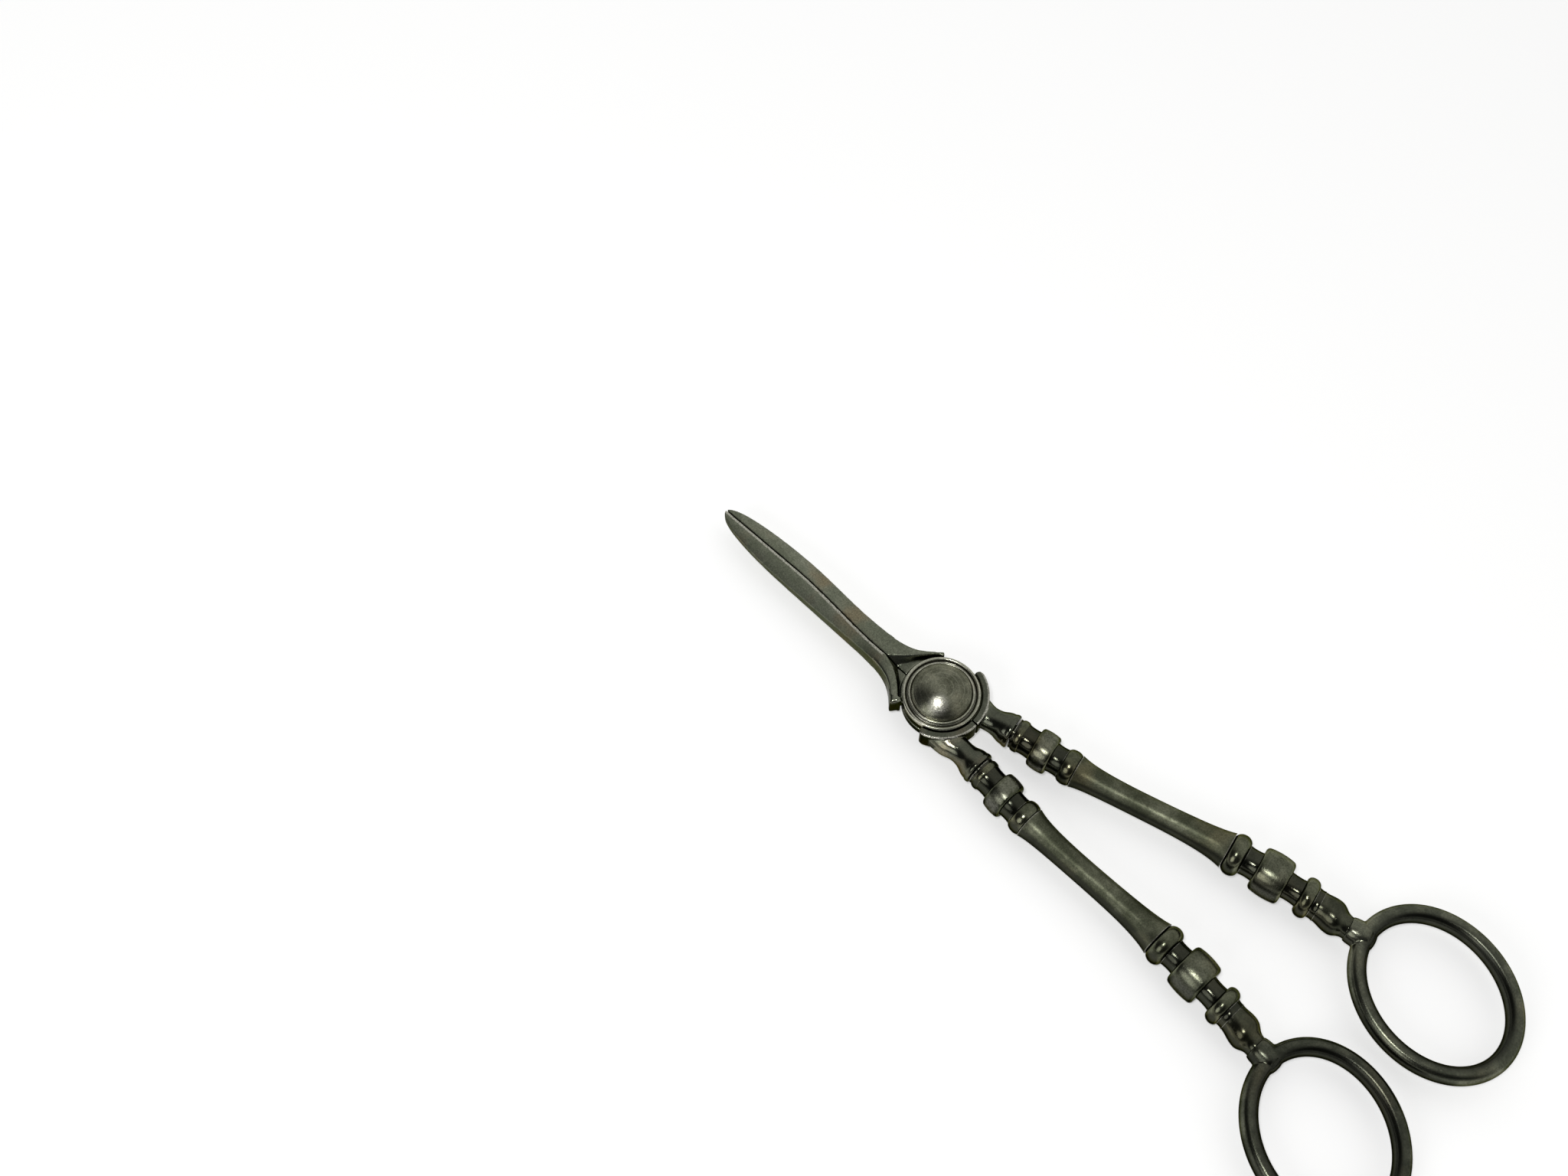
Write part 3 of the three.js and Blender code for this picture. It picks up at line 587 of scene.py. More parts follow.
handle_outline, bow_places = handle_profile()
handle_end = bow_places[-1]
print("barrel, flange and end at", [round(place, 1) for place in bow_places], "mm")

# %% The bow along a handle
LIP_AT = 15.7  # end of the blade's neck, where the bow begins
BOW_PLACES = (LIP_AT,) + bow_places
BOW_OFFSETS = (0.0, 0.7, -0.55, 0.0, 1.3)


def bow_at(distance):
    """Sideways offset at a distance along the axis: a curve through the places."""
    reach = [b - a for a, b in zip(BOW_PLACES, BOW_PLACES[1:])]
    slope = [(b - a) / d for a, b, d in zip(BOW_OFFSETS, BOW_OFFSETS[1:], reach)]
    lean = slope[:1] + [(a + b) / 2 for a, b in zip(slope, slope[1:])] + slope[-1:]
    distance = min(max(distance, BOW_PLACES[0]), BOW_PLACES[-1])
    span = max(i for i in range(len(reach)) if distance >= BOW_PLACES[i])
    t = (distance - BOW_PLACES[span]) / reach[span]
    ahead = 3 * t ** 2 - 2 * t ** 3
    ends = (1 - ahead) * BOW_OFFSETS[span] + ahead * BOW_OFFSETS[span + 1]
    leans = (t ** 3 - 2 * t ** 2 + t) * lean[span] + (t ** 3 - t ** 2) * lean[span + 1]
    return ends + reach[span] * leans


def make_handle(side, line, half_place, bow_side, finish, body):
    """One turned handle, bowed and laid on its line."""
    bm = spin_profile(handle_outline, ALONG, TURNED_STEPS)
    for vert in bm.verts:
        vert.co.y += bow_side * bow_at(vert.co.x)
    mesh = mesh_from(bm, half_place @ line, sharp_angle=50)
    show(f"{side}_handle_turned", mesh, finish, body, f"{side}_handle")


make_handle("right", RIGHT_LINE, FRONT_PLACE, -1, right_silver, "front_half")
make_handle("left", LEFT_LINE, BACK_PLACE, 1, left_silver, "back_half")
print("bow at those places:", [round(bow_at(place), 2) for place in bow_places])

# %% [markdown]
# The finger rings
#
# Each ring is an oval of rounded wire, brazed to the end of its handle with a lump of solder. A
# curve with a bevel could sweep the wire, but a spun torus that is then drawn out to an oval keeps
# its faces even. The solder has no edge of its own: wire, foot and lump are three closed shells,
# and a voxel remesh followed by a little smoothing melts them into one skin.

# %% The oval and where it meets the handle
HOLE_LENGTH = 28.8
HOLE_WIDTH = 22.8
WIRE_WIDTH = 3.7
WIRE_HEIGHT = 4.6
RING_LEAN = 24.0  # of the oval's long axis from the handle's line
RING_SIDE = 4.0  # how far the oval's centre lies to one side of that line
FOOT_LENGTH = 2.7
WEAR = 0.06  # what years of use took off the wire
FIT = 0.3  # gap between pieces that seat or turn on each other
LONG_AXIS = (HOLE_LENGTH + WIRE_WIDTH) / 2
SHORT_AXIS = (HOLE_WIDTH + WIRE_WIDTH) / 2


def ring_reach():
    """Along the handle's line, from the middle of the wire to the oval's centre."""
    cosine, sine = cos(radians(RING_LEAN)), sin(radians(RING_LEAN))
    square = (cosine / LONG_AXIS) ** 2 + (sine / SHORT_AXIS) ** 2
    cross = RING_SIDE * cosine * sine * (1 / LONG_AXIS ** 2 - 1 / SHORT_AXIS ** 2)
    rest = (RING_SIDE * sine / LONG_AXIS) ** 2 + (RING_SIDE * cosine / SHORT_AXIS) ** 2 - 1
    return (sqrt(cross ** 2 - square * rest) - cross) / square


foot_end = handle_end + FIT + FOOT_LENGTH
ring_centre = foot_end + ring_reach()
print(f"ring centre {ring_centre:.2f} mm along the handle's line")


# %% Wire and solder in one skin
def block_object(bm, name):
    """A bmesh as an object for modifiers to work on."""
    return placed(name, mesh_of(bm, name))


def evaluated_mesh(piece):
    """A new mesh with the object's modifiers applied."""
    return bpy.data.meshes.new_from_object(
        piece.evaluated_get(bpy.context.evaluated_depsgraph_get()))


def melted(bm, voxel, passes):
    """Joins overlapping shells by a voxel remesh, then smooths the skin."""
    work = block_object(bm, "melt")
    remesh = work.modifiers.new("melt", "REMESH")
    remesh.mode = "VOXEL"
    remesh.voxel_size = voxel
    relax = work.modifiers.new("relax", "SMOOTH")
    relax.factor = 0.5
    relax.iterations = passes
    skin = evaluated_mesh(work)
    bpy.data.meshes.remove(work.data)  # a mesh that is removed takes its object with it
    return skin


def on_oval(around):
    """The middle of the wire at an angle, and the direction out of the oval there."""
    cosine, sine = cos(around), sin(around)
    outward = Vector((cosine / LONG_AXIS, sine / SHORT_AXIS, 0)).normalized()
    return Vector((LONG_AXIS * cosine, SHORT_AXIS * sine, 0)), outward


def wire_oval(turn):
    """The wire: an oval section, spun to a torus and drawn out to the ring's oval."""
    bm = bmesh.new()
    bmesh.ops.create_circle(bm, segments=32, radius=1)
    bmesh.ops.scale(bm, vec=(WIRE_WIDTH / 2 - WEAR, WIRE_HEIGHT / 2 - WEAR, 1), verts=bm.verts)
    upended = Matrix.Rotation(pi / 2, 3, "X")
    bmesh.ops.rotate(bm, cent=(0, 0, 0), matrix=upended, verts=bm.verts)
    bmesh.ops.translate(bm, vec=(LONG_AXIS, 0, 0), verts=bm.verts)
    bmesh.ops.spin(bm, geom=bm.verts[:] + bm.edges[:], cent=(0, 0, 0), axis=UPRIGHT,
                   angle=2 * pi, steps=160, use_merge=True)
    for vert in bm.verts:
        middle, outward = on_oval(atan2(vert.co.y, vert.co.x))
        middle.z = vert.co.z
        vert.co = middle + outward * (hypot(vert.co.x, vert.co.y) - LONG_AXIS)
    lean = Matrix.Rotation(radians(turn * RING_LEAN), 4, "Z")
    place = Matrix.Translation((ring_centre, turn * RING_SIDE, 0)) @ lean
    bmesh.ops.transform(bm, matrix=place, verts=bm.verts)
    return faced(bm)


def wire_side(place):
    """How far outside the middle of its wire a place on a centred oval lies."""
    middle, outward = on_oval(atan2(place.y / SHORT_AXIS, place.x / LONG_AXIS))
    return (place - middle).dot(outward)


def add_shell(bm, other):
    """Adds another closed shell to a bmesh."""
    spare = mesh_of(other, "shell")
    bm.from_mesh(spare)
    bpy.data.meshes.remove(spare)


def step(value, low, high):
    """A smooth step from 0 to 1 while the value goes from low to high."""
    t = min(max((value - low) / (high - low), 0), 1)
    return t * t * (3 - 2 * t)


def store(mesh, name, values):
    """Keeps one number per vertex on a mesh, for its finish to read."""
    kept = mesh.attributes.get(name) or mesh.attributes.new(name, "FLOAT", "POINT")
    kept.data.foreach_set("value", values)


print(f"wire {WIRE_WIDTH} mm wide and {WIRE_HEIGHT} mm high")

# %% The two rings
FOOT_BACK = 0.7  # how far the foot reaches back over the handle's end
FOOT_ON = 0.6  # how far it reaches on into the wire
FOOT_DIAMETER = 5.5
FOOT_BASE = 4.7
SOLDER_SIZE = (2.3, 3.5, 2.35)  # half its length, width and height
SOLDER_BACK = 0.3  # how far its middle lies before the foot's end
RING_VOXEL = 0.16
RING_PASSES = 6
RING_INSIDE_SHADE = 0.85
RING_INSIDE_SHADE_EDGE = (0.5, -1.3)  # how far outside the wire's middle the painted shade starts, and is full


def make_ring(side, line, half_place, turn, finish, body):
    """One finger ring with its foot and solder."""
    bm = wire_oval(turn)
    pen = Pen(handle_end - FOOT_BACK)
    pen.bead(foot_end - pen.at + FOOT_ON, FOOT_DIAMETER, base=FOOT_BASE)
    foot = spin_profile(pen.close(), ALONG, TURNED_STEPS)
    solder = bmesh.new()
    bmesh.ops.create_icosphere(solder, subdivisions=4, radius=1)
    bmesh.ops.scale(solder, vec=SOLDER_SIZE, verts=solder.verts)
    bmesh.ops.translate(solder, vec=(foot_end - SOLDER_BACK, 0, 0), verts=solder.verts)
    for shell in (foot, solder):
        for vert in shell.verts:
            vert.co.y += turn * bow_at(handle_end)
        add_shell(bm, shell)
    mesh = melted(bm, RING_VOXEL, RING_PASSES)
    unlean = Matrix.Rotation(radians(-turn * RING_LEAN), 3, "Z")
    middle = Vector((ring_centre, turn * RING_SIDE, 0))
    sides = [wire_side(unlean @ (v.co - middle)) for v in mesh.vertices]
    # Painted shade: the wire is darkened on its inner side, towards the oval's middle.
    store(mesh, "grime_and_shade", [RING_INSIDE_SHADE * step(out, *RING_INSIDE_SHADE_EDGE) for out in sides])
    mesh.transform(half_place @ line)
    mesh.shade_smooth()
    show(f"{side}_ring_brazed", mesh, finish, body, f"{side}_finger_ring")


make_ring("right", RIGHT_LINE, FRONT_PLACE, -1, right_ring_silver, "front_half")
make_ring("left", LEFT_LINE, BACK_PLACE, 1, left_ring_silver, "back_half")

# %% [markdown]
# The pivot
#
# The shears turn on a pin. From the front it shows as a polished dome on a stepped collar, whose
# thin rings catch the light; at the back there is a plain washer and the pin's flat head. All four
# are round about the pin, so each is one profile spun about Z, with its lips rounded in the profile
# itself. The wide highlight on the dome is helped by a painted highlight: a bright patch in the
# dome's colour where the lamp's highlight falls.

# %% Heights in the pivot, above the surface
BORE_RADIUS = 2.3
PIN_RADIUS = 2.0
PIN_HEAD_RADIUS = 5.5
WASHER_RADIUS = 6.8
PLATE_RADIUS = 7.8
PLATE_THICKNESS = 1.9
LAP_FACE = FIT / 2
PLATE_TOP = LAP_FACE + PLATE_THICKNESS
WASHER_THICKNESS = 0.8
WASHER_LOW = PIVOT_HEIGHT - PLATE_TOP - FIT - WASHER_THICKNESS
WASHER_TOP = WASHER_LOW + WASHER_THICKNESS
COLLAR_LOW = PIVOT_HEIGHT + PLATE_TOP
COLLAR_TOP = COLLAR_LOW + 1.4
DOME_RADIUS = 5.9
DOME_HEIGHT = 2.4
DOME_RISE = 2.1  # of the cap alone, above its rim
ROUND_STEPS = 144


def arc(centre, radii, from_angle, to_angle, steps):
    """(height, radius) points of an elliptic arc; 0 is outwards and 90 up."""
    sweep = to_angle - from_angle
    angles = [radians(from_angle + sweep * i / steps) for i in range(steps + 1)]
    across, up = centre
    return [(up + radii[1] * sin(a), across + radii[0] * cos(a)) for a in angles]


def make_round(name, profile, finish, node):
    """A piece spun about the pin; a profile that starts off the axis has a bore."""
    points = profile + profile[:1] if profile[0][1] > 0 else profile
    mesh = mesh_from(spin_profile(points, UPRIGHT, ROUND_STEPS), TO_METRES, sharp_angle=40)
    return show(name, mesh, finish, "front_half", node)


print(f"washer at {WASHER_LOW:.2f}, collar at {COLLAR_LOW:.2f}, dome on {COLLAR_TOP:.2f} mm")

# %% Pin and washer
PIN_TOP = COLLAR_TOP + 1.1  # inside the dome
HEAD_ROUND = 0.35
WASHER_ROUND = 0.2

head_edge = arc((PIN_HEAD_RADIUS - HEAD_ROUND, HEAD_ROUND), (HEAD_ROUND,) * 2, -90, 0, 6)
make_round(
    "pivot_pin_riveted",
    [(0.0, 0.0)] + head_edge
    + [(WASHER_LOW, PIN_HEAD_RADIUS), (WASHER_LOW, PIN_RADIUS), (PIN_TOP, PIN_RADIUS),
       (PIN_TOP, 0.0)],
    blade_steel, "pivot_pin")

washer_side = WASHER_RADIUS - WASHER_ROUND
make_round(
    "back_washer_punched",
    [(WASHER_LOW, BORE_RADIUS)]
    + arc((washer_side, WASHER_LOW + WASHER_ROUND), (WASHER_ROUND,) * 2, -90, 0, 5)
    + arc((washer_side, WASHER_TOP - WASHER_ROUND), (WASHER_ROUND,) * 2, 0, 90, 5)
    + [(WASHER_TOP, BORE_RADIUS)],
    right_silver, "back_washer")

# %% Collar and dome
RIM_TOP = COLLAR_LOW + 0.9
RIM_LIP = 0.38
GROOVE_FLOOR = RIM_TOP - 0.32
GROOVE_RADIUS = 6.72  # at the middle of the groove
GROOVE_ROUND = (0.12, 0.1)  # half its width, and the height of its rounded floor
STEP_RADIUS = 6.6
STEP_TOP = COLLAR_TOP - 0.3
STEP_LIP = 0.28
SEAT_FOOT = (COLLAR_TOP - 0.38, 6.0)  # height and radius where the dome's seat begins
make_round(
    "collar_stepped",
    [(COLLAR_LOW, BORE_RADIUS), (COLLAR_LOW, PLATE_RADIUS)]
    + arc((PLATE_RADIUS - RIM_LIP, RIM_TOP - RIM_LIP), (RIM_LIP,) * 2, 0, 180, 14)
    + arc((GROOVE_RADIUS, GROOVE_FLOOR + GROOVE_ROUND[1]), GROOVE_ROUND, 0, -180, 6)
    + arc((STEP_RADIUS - STEP_LIP, STEP_TOP - STEP_LIP), (STEP_LIP,) * 2, 0, 150, 10)
    + [SEAT_FOOT, (COLLAR_TOP, DOME_RADIUS), (COLLAR_TOP, BORE_RADIUS)],
    collar_silver, "stepped_collar")

DOME_FOOT = 0.1  # how far the dome's flat underside stays inside its rim
DOME_ROUND = (0.16, 0.18)  # across and up, at the rim
HIGHLIGHT_PATCH_AT = Vector((1.7, -3.0))  # middle of the painted highlight patch
HIGHLIGHT_PATCH_EDGE = (0.6, 2.6)  # the patch fades between these distances
dome_top = COLLAR_TOP + DOME_HEIGHT
sphere = (DOME_RADIUS ** 2 + DOME_RISE ** 2) / (2 * DOME_RISE)
cap_edge = degrees(asin((sphere - DOME_RISE) / sphere))
cap = arc((0, dome_top - sphere), (sphere, sphere), cap_edge + 1.5, 90, 40)
cap[-1] = (dome_top, 0.0)  # exactly on the axis
dome_rim = (DOME_RADIUS - DOME_ROUND[0], COLLAR_TOP + DOME_ROUND[1])
dome = make_round(
    "dome_polished",
    [(COLLAR_TOP, 0.0), (COLLAR_TOP, DOME_RADIUS - DOME_FOOT)]
    + arc(dome_rim, DOME_ROUND, -60, 80, 8) + cap,
    dome_silver, "dome_nut")
# Painted highlight: the dome's colour is made bright round the place where the lamp's highlight
# falls.
off_highlight_patch = [(v.co.xy / MM - HIGHLIGHT_PATCH_AT).length for v in dome.data.vertices]
store(dome.data, "wear_and_highlight", [0.9 * (1 - step(off, *HIGHLIGHT_PATCH_EDGE)) for off in off_highlight_patch])

# %% [markdown]
# The blades
#
# A blade is forged in one with its half of the joint: the leaf, a shoulder, the round plate that
# laps the other blade's plate, a raised stop and the flared neck that takes the handle. It is a job
# for adding and cutting solids. Each block below is extruded, spun or bent with bmesh operators,
# and the Boolean modifier joins or cuts them in the order that a smith would. Then the same melt as
# on the rings rounds every edge a little, as years of cleaning do, and more smoothing makes the
# hollow between the roots a valley, as a grinding wheel leaves it.

# %% Blocks that the blade is cut from
BLADE_REACH = 59.4  # from the pivot's axis to the tip
BELLY_AT = 40.0  # where the pair is widest
BELLY_HALF = 3.5
WAIST_AT = 20.0
WAIST_HALF = 3.0
TIP_FULLNESS = 2.2  # lengths of the curve handles at the tip, belly, waist and flare
TIP_EASE, SIDE_EASE, FLARE_EASE = 10.0, 7.0, 8.5
ROOT = Vector((-9.5, 3.9, 0))  # what the outline turns round on its way to the shoulder
JOINT_HALF = 2.6  # half the thickness at the joint
BLANK_HALF = 10.6
HOLLOW_REACH = 14.0


def polygon_block(points, low, high):
    """A flat outline as a block between two heights."""
    bm = bmesh.new()
    face = bm.faces.new([bm.verts.new((x, y, low)) for x, y in points])
    raised = bmesh.ops.extrude_face_region(bm, geom=[face])
    top = [v for v in raised["geom"] if isinstance(v, bmesh.types.BMVert)]
    bmesh.ops.translate(bm, vec=(0, 0, high - low), verts=top)
    return faced(bm)


def disc_block(radius, low, high):
    """A disc about the pin's axis."""
    bm = bmesh.new()
    bmesh.ops.create_cone(bm, cap_ends=True, segments=ROUND_STEPS, radius1=radius, radius2=radius,
                          depth=high - low)
    bmesh.ops.translate(bm, vec=(0, 0, (low + high) / 2), verts=bm.verts)
    return bm


def bezier(start, first, second, end, steps=24):
    """Points of one Bezier run, without its first point."""
    knots = [Vector((*p[:2], 0)) for p in (start, first, second, end)]
    return [(p.x, p.y) for p in geometry.interpolate_bezier(*knots, steps)[1:]]


def ring_point(radius, angle):
    """A place round the pin, counted from the handles' line."""
    return radius * cos(radians(angle)), radius * sin(radians(angle))


print("blocks: outline and disc")

# %% Outline and crown of the closed pair
TIP_HALF = 1.0  # half the thickness at the tip
LEAST_HALF = 0.4  # and the least anywhere
CROWN_FALL = 0.75  # how far the face falls from the seam to the belly's side


def blade_outline(shoulder_radius, shoulder_angle, sway):
    """The outline of both blades, from one shoulder round the tip to the other."""
    across, up = ring_point(shoulder_radius, 180 - shoulder_angle)

    def knots(side):
        waist, belly = sway + side * WAIST_HALF, side * BELLY_HALF
        return [(across, side * up), (ROOT.x, sway + side * ROOT.y),
                (-WAIST_AT + FLARE_EASE, waist), (-WAIST_AT, waist), (-WAIST_AT - SIDE_EASE, waist),
                (-BELLY_AT + SIDE_EASE, belly), (-BELLY_AT, belly), (-BELLY_AT - TIP_EASE, belly),
                (-BLADE_REACH, side * TIP_FULLNESS), (-BLADE_REACH, 0)]

    course = knots(1) + knots(-1)[-2::-1]
    points = [(0, 0), course[0]]
    for first in range(0, len(course) - 1, 3):
        points += bezier(*course[first:first + 4])
    return points


def crown_height(x, y):
    """Half the blades' thickness: it thins to the tip, and falls away from the seam."""
    thin = min(max((-x - HOLLOW_REACH) / (BLADE_REACH - HOLLOW_REACH), 0), 1)
    half = JOINT_HALF + (TIP_HALF - JOINT_HALF) * thin
    fall = CROWN_FALL * step(-x, HOLLOW_REACH / 2, WAIST_AT)
    return max(half - fall * (y / BELLY_HALF) ** 2, LEAST_HALF)


def crown_block():
    """The room that both faces are cut from: a fine grid at the crown, mirrored below."""
    bm = bmesh.new()
    reach = BLADE_REACH + 0.4
    bmesh.ops.create_grid(bm, x_segments=160, y_segments=64, size=0.5)
    bmesh.ops.translate(bm, vec=(-0.5, 0, 0), verts=bm.verts)
    bmesh.ops.scale(bm, vec=(reach, 2 * BLANK_HALF, 1), verts=bm.verts)
    for vert in bm.verts:
        vert.co.z = crown_height(vert.co.x, vert.co.y)
    below = bmesh.ops.duplicate(bm, geom=bm.verts[:] + bm.edges[:] + bm.faces[:])
    sunk = [v for v in below["geom"] if isinstance(v, bmesh.types.BMVert)]
    bmesh.ops.scale(bm, vec=(1, 1, -1), verts=sunk)
    bmesh.ops.bridge_loops(bm, edges=[e for e in bm.edges if e.is_boundary])
    return faced(bm)


print("thickness at the tip:", 2 * crown_height(-BLADE_REACH, 0))

# %% Share and stop
SEAT_RADIUS = PLATE_RADIUS + FIT
RIM_RADIUS = SEAT_RADIUS + 1.4
STOP_ANGLE = 77.0
STOP_ROUND = 8.0
SEAM_LAP = 0.2
SEAM_SET = 1.5  # how far the seam lies to the front blade's side at the hollow
SEAM_HALF = 0.1  # half the gap that shows between the two blades


def seam_at(x, seam_set):
    """Where the seam runs: off the middle at the hollow, in the middle from the belly on."""
    return seam_set * (1 - step(-x, HOLLOW_REACH, BELLY_AT))


def share_block(lap, low, high, seam_set):
    """One blade's side of the seam, with its edge moved over it by the lap."""
    far, end = 2 * BLANK_HALF, -2 * BLADE_REACH
    run = [HOLLOW_REACH + (BELLY_AT - HOLLOW_REACH) * i / 24 for i in range(25)]
    edge = [(-x, seam_at(-x, seam_set) + lap - SEAM_HALF) for x in run]
    near, tip = (far, edge[0][1]), (end, edge[-1][1])
    return polygon_block([(far, -far), near] + edge + [tip, (end, -far)], low, high)


def bent(start, knee, end):
    """Points of a curve whose two ends both point at one knee."""
    handles = [tuple(a + (b - a) * 2 / 3 for a, b in zip(place, knee)) for place in (start, end)]
    return bezier(start, *handles, end)


def stop_block():
    """The stop: a wedge from the axis to the rim, rounded at its end."""
    slip = degrees(asin(LAP_FACE / RIM_RADIUS))
    rim = arc((0, 0), (RIM_RADIUS, RIM_RADIUS), slip, STOP_ANGLE - STOP_ROUND, 40)
    points = [(x, y) for y, x in rim]
    corner, inner = ring_point(RIM_RADIUS, STOP_ANGLE), ring_point(SEAT_RADIUS, STOP_ANGLE)
    points += bent(points[-1], corner, inner)
    return polygon_block([(0, 0)] + points, -JOINT_HALF, JOINT_HALF)


print(f"stop up to {STOP_ANGLE:.0f} degrees, rim at {RIM_RADIUS:.1f} mm")

# %% Hollow, neck and socket
HOLLOW_FLOOR = 1.2
HOLLOW_ANGLE = 48.0  # to each side of the blades' line, at the plates' seat
HOLLOW_WAIST = (-8.6, 3.0)
HOLLOW_SLOPE = 0.55  # share of its reach that it loses down to its floor
NECK_START = 5.0  # inside the joint
NECK_ROOT, NECK_WAIST, NECK_MOUTH = 2.9, 2.55, 3.35  # radii
NECK_FLATTER = 0.1  # share of its height lost at the root, below the stop
NECK_SPREAD = 0.25  # share of width gained there on the outer side


def hollow_block(side, seam_set):
    """The hollow between the roots, from the plates' seat out to the seam."""
    start, end = (ring_point(SEAT_RADIUS + 0.5, 180 + a) for a in (-HOLLOW_ANGLE, HOLLOW_ANGLE))
    point = (-HOLLOW_REACH, seam_set)
    points = [start] + bent(start, HOLLOW_WAIST, point)
    points += bent(point, (HOLLOW_WAIST[0], -HOLLOW_WAIST[1]), end)
    inner = SEAT_RADIUS - 0.05
    points += [ring_point(inner, 180 + HOLLOW_ANGLE * (1 - i / 12)) for i in range(25)]
    bm = polygon_block(points, HOLLOW_FLOOR, JOINT_HALF + 0.1)
    for vert in bm.verts:
        reach = vert.co.xy.length
        if vert.co.z < JOINT_HALF and reach > SEAT_RADIUS:
            vert.co.xy *= 1 - HOLLOW_SLOPE * (reach - SEAT_RADIUS) / reach
    bmesh.ops.triangulate(bm, faces=bm.faces)
    bmesh.ops.scale(bm, vec=(1, 1, side), verts=bm.verts)
    return faced(bm)


def neck_block():
    """The flared neck, from inside the joint to its lip."""
    pen = Pen(NECK_START)
    pen.curve(6.0, NECK_ROOT, (0.5, NECK_ROOT), (0.5, NECK_WAIST), NECK_WAIST, steps=16)
    pen.curve(3.7, NECK_WAIST, (0.5, NECK_WAIST), (0.55, NECK_MOUTH), NECK_MOUTH, steps=12)
    pen.bead(1.0, 7.1, base=2 * NECK_MOUTH)
    bm = spin_profile(pen.close(), ALONG, TURNED_STEPS)
    for vert in bm.verts:
        if vert.co.y > 0:
            vert.co.y *= 1 + NECK_SPREAD * (1 - step(vert.co.x, 8.0, 10.8))
        vert.co.z *= 1 - NECK_FLATTER * (1 - step(vert.co.x, 10.0, 13.5))
    return bm


def socket_block():
    """The hole in the neck that takes the handle's spigot."""
    pen = Pen(HANDLE_START - FIT - SPIGOT_LENGTH - FIT)
    pen.rod(HANDLE_START - pen.at, SPIGOT_DIAMETER + 2 * FIT)
    return spin_profile(pen.close(), ALONG, steps=32)


def on_line(bm, line):
    """A block that is drawn along X, laid on a handle's line."""
    bmesh.ops.transform(bm, matrix=line, verts=bm.verts)
    return bm


print(f"hollow {JOINT_HALF - HOLLOW_FLOOR:.1f} mm deep")

# %% Joining and cutting
TALL = 5.2  # beyond the joint's faces, for blocks that cut right through


def taken_back(block):
    """The bmesh of an object that is no longer needed."""
    bm = bmesh.new()
    bm.from_mesh(block.data)
    bpy.data.objects.remove(block)
    return bm


def work_on(piece, operation, bm):
    """Joins a block to the piece or cuts it with the block, which is used up."""
    tool = block_object(bm, "block")
    cut = piece.modifiers.new("cut", "BOOLEAN")
    cut.operation = operation
    cut.solver = "EXACT"
    cut.object = tool
    result = evaluated_mesh(piece)
    piece.modifiers.clear()
    old, piece.data = piece.data, result
    for mesh in (old, tool.data):
        bpy.data.meshes.remove(mesh)


def stepped_share(seam_set):
    """One blade's share: over the seam above the lap face, and short of it below."""
    share = block_object(share_block(SEAM_LAP, LAP_FACE, TALL, seam_set), "share")
    work_on(share, "UNION", share_block(-SEAM_LAP, -TALL, TALL, seam_set))
    return taken_back(share)


print("blocks are joined and cut one by one")

# %% Smoothing, wear, painted shade and painted highlights
WALL_PASSES = 24  # of smoothing, for the hollow's walls
SEAM_SAFE = 0.8  # the strip along the seam that stays crisp
KNOB_PASSES = 50
KNOB_REACH = 1.9  # how much of the shoulder's end is rounded
SEAM_LINE = (0.44, 0.62)  # the painted highlight on the seam ends between these


def hollow_share(place):
    """1 inside the hollow between the roots, and 0 away from it."""
    outside = step(hypot(place.x, place.y), SEAT_RADIUS + 0.1, SEAT_RADIUS + 0.6)
    before_tip = 1 - step(-place.x, HOLLOW_REACH, HOLLOW_REACH + 2)
    return outside * step(-place.x, 4.0, 6.0) * before_tip


def ease_root(mesh, seam_set, shoulder):
    """Rounds the hollow into a valley and the shoulder's end into a knob."""
    bm = bmesh.new()
    bm.from_mesh(mesh)
    walls = [v for v in bm.verts
             if hollow_share(v.co) > 0.5 and abs(v.co.y - seam_set) > SEAM_SAFE]
    knob = [v for v in bm.verts if (v.co.xy - shoulder).length < KNOB_REACH]
    for verts, passes in ((walls, WALL_PASSES), (knob, KNOB_PASSES)):
        for _ in range(passes):
            bmesh.ops.smooth_vert(bm, verts=verts, factor=0.5, use_axis_x=True, use_axis_y=True,
                                  use_axis_z=True)
    bm.to_mesh(mesh)
    bm.free()


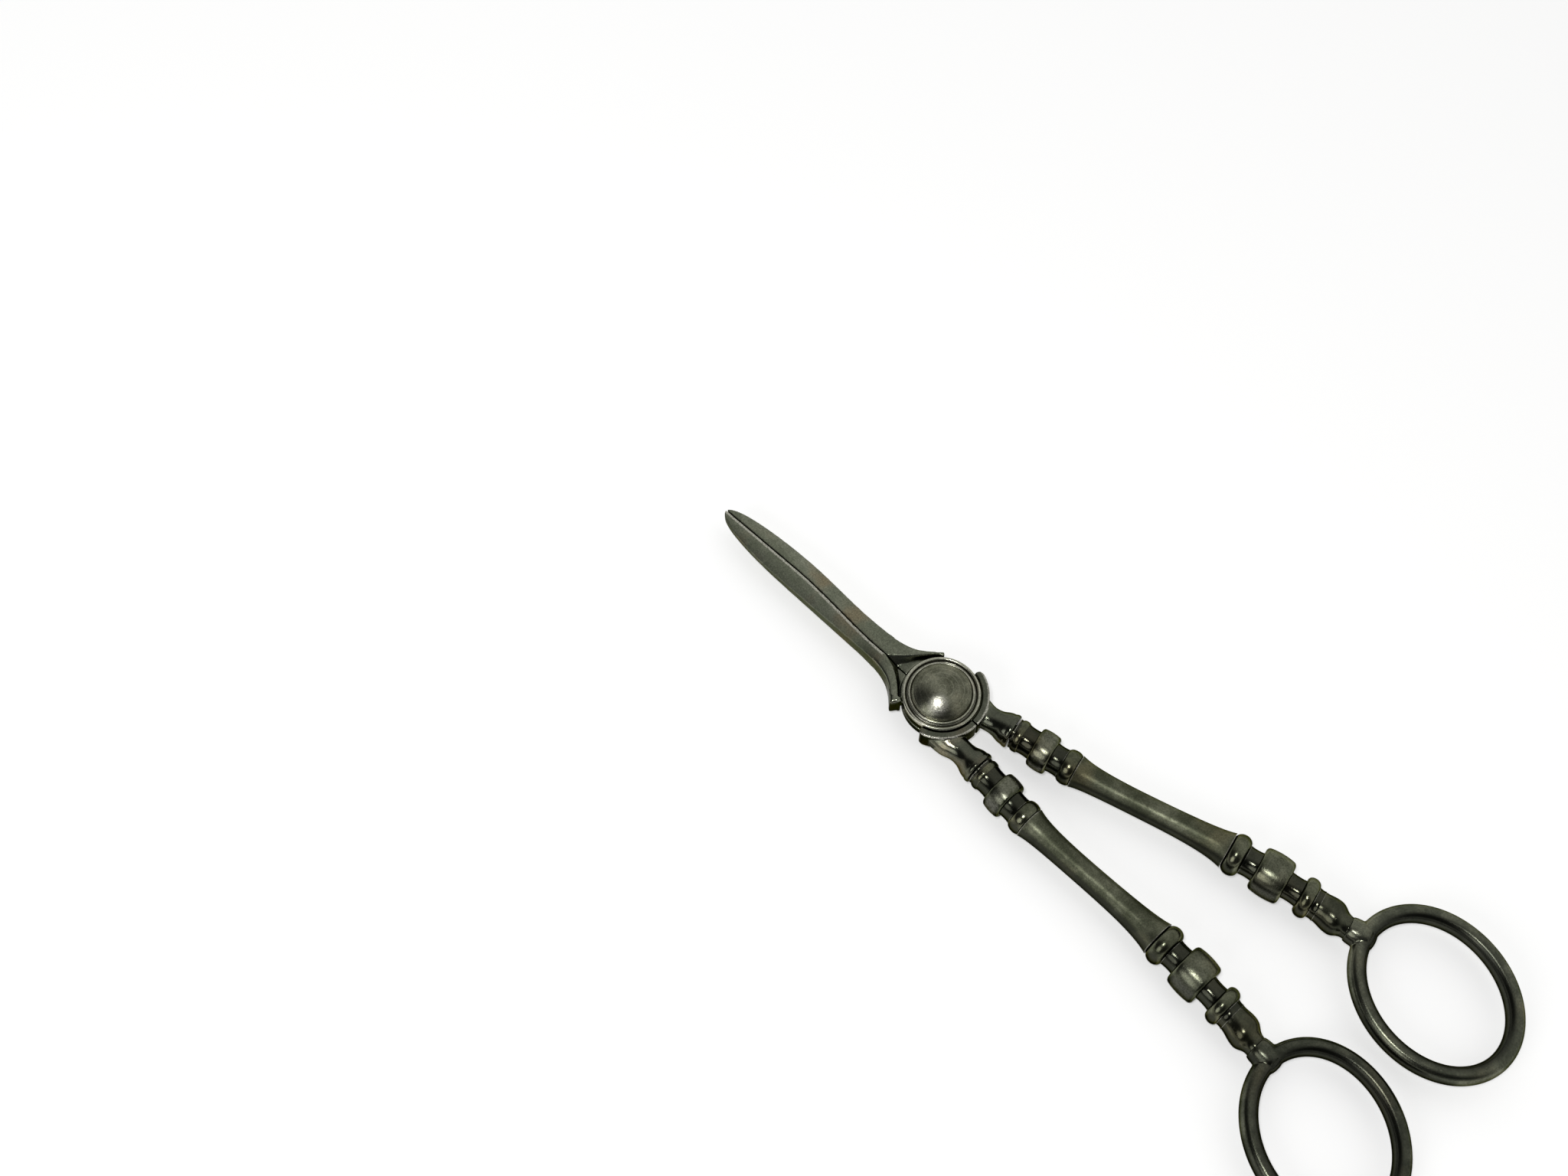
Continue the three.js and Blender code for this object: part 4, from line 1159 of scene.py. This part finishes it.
def mark_blade(mesh, line, seam_set):
    """Stores dirt and painted shade at the joint, satin on the leaf and painted highlights on seam
    and lip.
    """
    to_line = line.inverted()
    grime_and_shade, satin, wear_and_highlight = [], [], []
    for vert in mesh.vertices:
        place, facing = vert.co, vert.normal
        from_pin = hypot(place.x, place.y)
        level = abs(facing.z) > 0.3
        leaf = step(-place.x, 8, 24)
        down_neck = step((to_line @ place).x, 7.5, 11)
        in_hollow = hollow_share(place) * level
        sunk = 1 - step(abs(place.z), HOLLOW_FLOOR + 0.1, JOINT_HALF - 0.4)
        on_stop = (place.x > 0 and SEAT_RADIUS < from_pin < RIM_RADIUS + 0.1
                   and abs(place.z) > JOINT_HALF - 0.3)
        on_lip = on_stop and from_pin > RIM_RADIUS - 0.35
        on_wall = abs(facing.z) < 0.5 and from_pin < RIM_RADIUS + 1.2 and place.x > -8.5
        from_edge = seam_at(place.x, seam_set) + SEAM_LAP - SEAM_HALF - place.y
        by_seam = place.z > 0.7 and -HOLLOW_REACH > place.x and level
        # Darker: the hollow's floor and the neck with dirt and painted shade, the stop's top and
        # the joint's walls with painted shade.
        grime_and_shade.append(max(0.45 * in_hollow * sunk, 0.12 * (1 - leaf) + 0.45 * down_neck,
                         0.55 * on_stop, 0.85 * on_wall))
        satin.append(leaf - 0.5 * down_neck)
        # Painted highlights: a bright line along the seam's edge and along the stop's lip.
        wear_and_highlight.append(max(0.95 * by_seam * (1 - step(from_edge, *SEAM_LINE)), 0.8 * on_lip))
    for name, values in (("grime_and_shade", grime_and_shade), ("satin", satin), ("wear_and_highlight", wear_and_highlight)):
        store(mesh, name, values)


# The stored values carry dirt with painted shade, satin, and wear with painted highlights.
print("wear: grime, satin and gleam")

# %% The two blades
BLADE_SWAY = 0.6  # how far the pair's waist lies to the front blade's side
FRONT_SHOULDER = (10.5, 55.0)  # radius and angle of its end, from the blades' line
BACK_SHOULDER = (9.2, 52.5)
BLADE_VOXEL = 0.14
BLADE_PASSES = 3


def make_blade(side, outline, line, half_place, body, seam_set):
    """One blade with its plate, shoulder, stop, hollow and neck."""
    blade = block_object(polygon_block(outline, -JOINT_HALF, JOINT_HALF), f"{side}_blank")
    for operation, block in (
            ("INTERSECT", crown_block()),
            ("INTERSECT", stepped_share(seam_set)),
            ("UNION", stop_block()),
            ("UNION", on_line(neck_block(), line)),
            ("DIFFERENCE", disc_block(SEAT_RADIUS, -TALL, LAP_FACE)),  # room for the other plate
            ("DIFFERENCE", disc_block(SEAT_RADIUS, PLATE_TOP, TALL)),  # and for collar or washer
            ("DIFFERENCE", hollow_block(1, seam_set)),
            ("DIFFERENCE", hollow_block(-1, seam_set)),
            ("UNION", disc_block(PLATE_RADIUS, LAP_FACE, PLATE_TOP)),
            ("DIFFERENCE", disc_block(BORE_RADIUS, -TALL, TALL)),
            ("DIFFERENCE", on_line(socket_block(), line))):
        work_on(blade, operation, block)
    mesh = melted(taken_back(blade), BLADE_VOXEL, BLADE_PASSES)
    ease_root(mesh, seam_set, Vector(outline[-1]))
    mark_blade(mesh, line, seam_set)
    mesh.transform(half_place)
    mesh.shade_smooth()
    show(f"{side}_blade_ground", mesh, blade_steel, body, f"{side}_blade")


make_blade("front", blade_outline(*FRONT_SHOULDER, -BLADE_SWAY), RIGHT_LINE, FRONT_PLACE,
           "front_half", -SEAM_SET)
make_blade("back", blade_outline(*BACK_SHOULDER, BLADE_SWAY), LEFT_LINE, BACK_PLACE,
           "back_half", SEAM_SET)
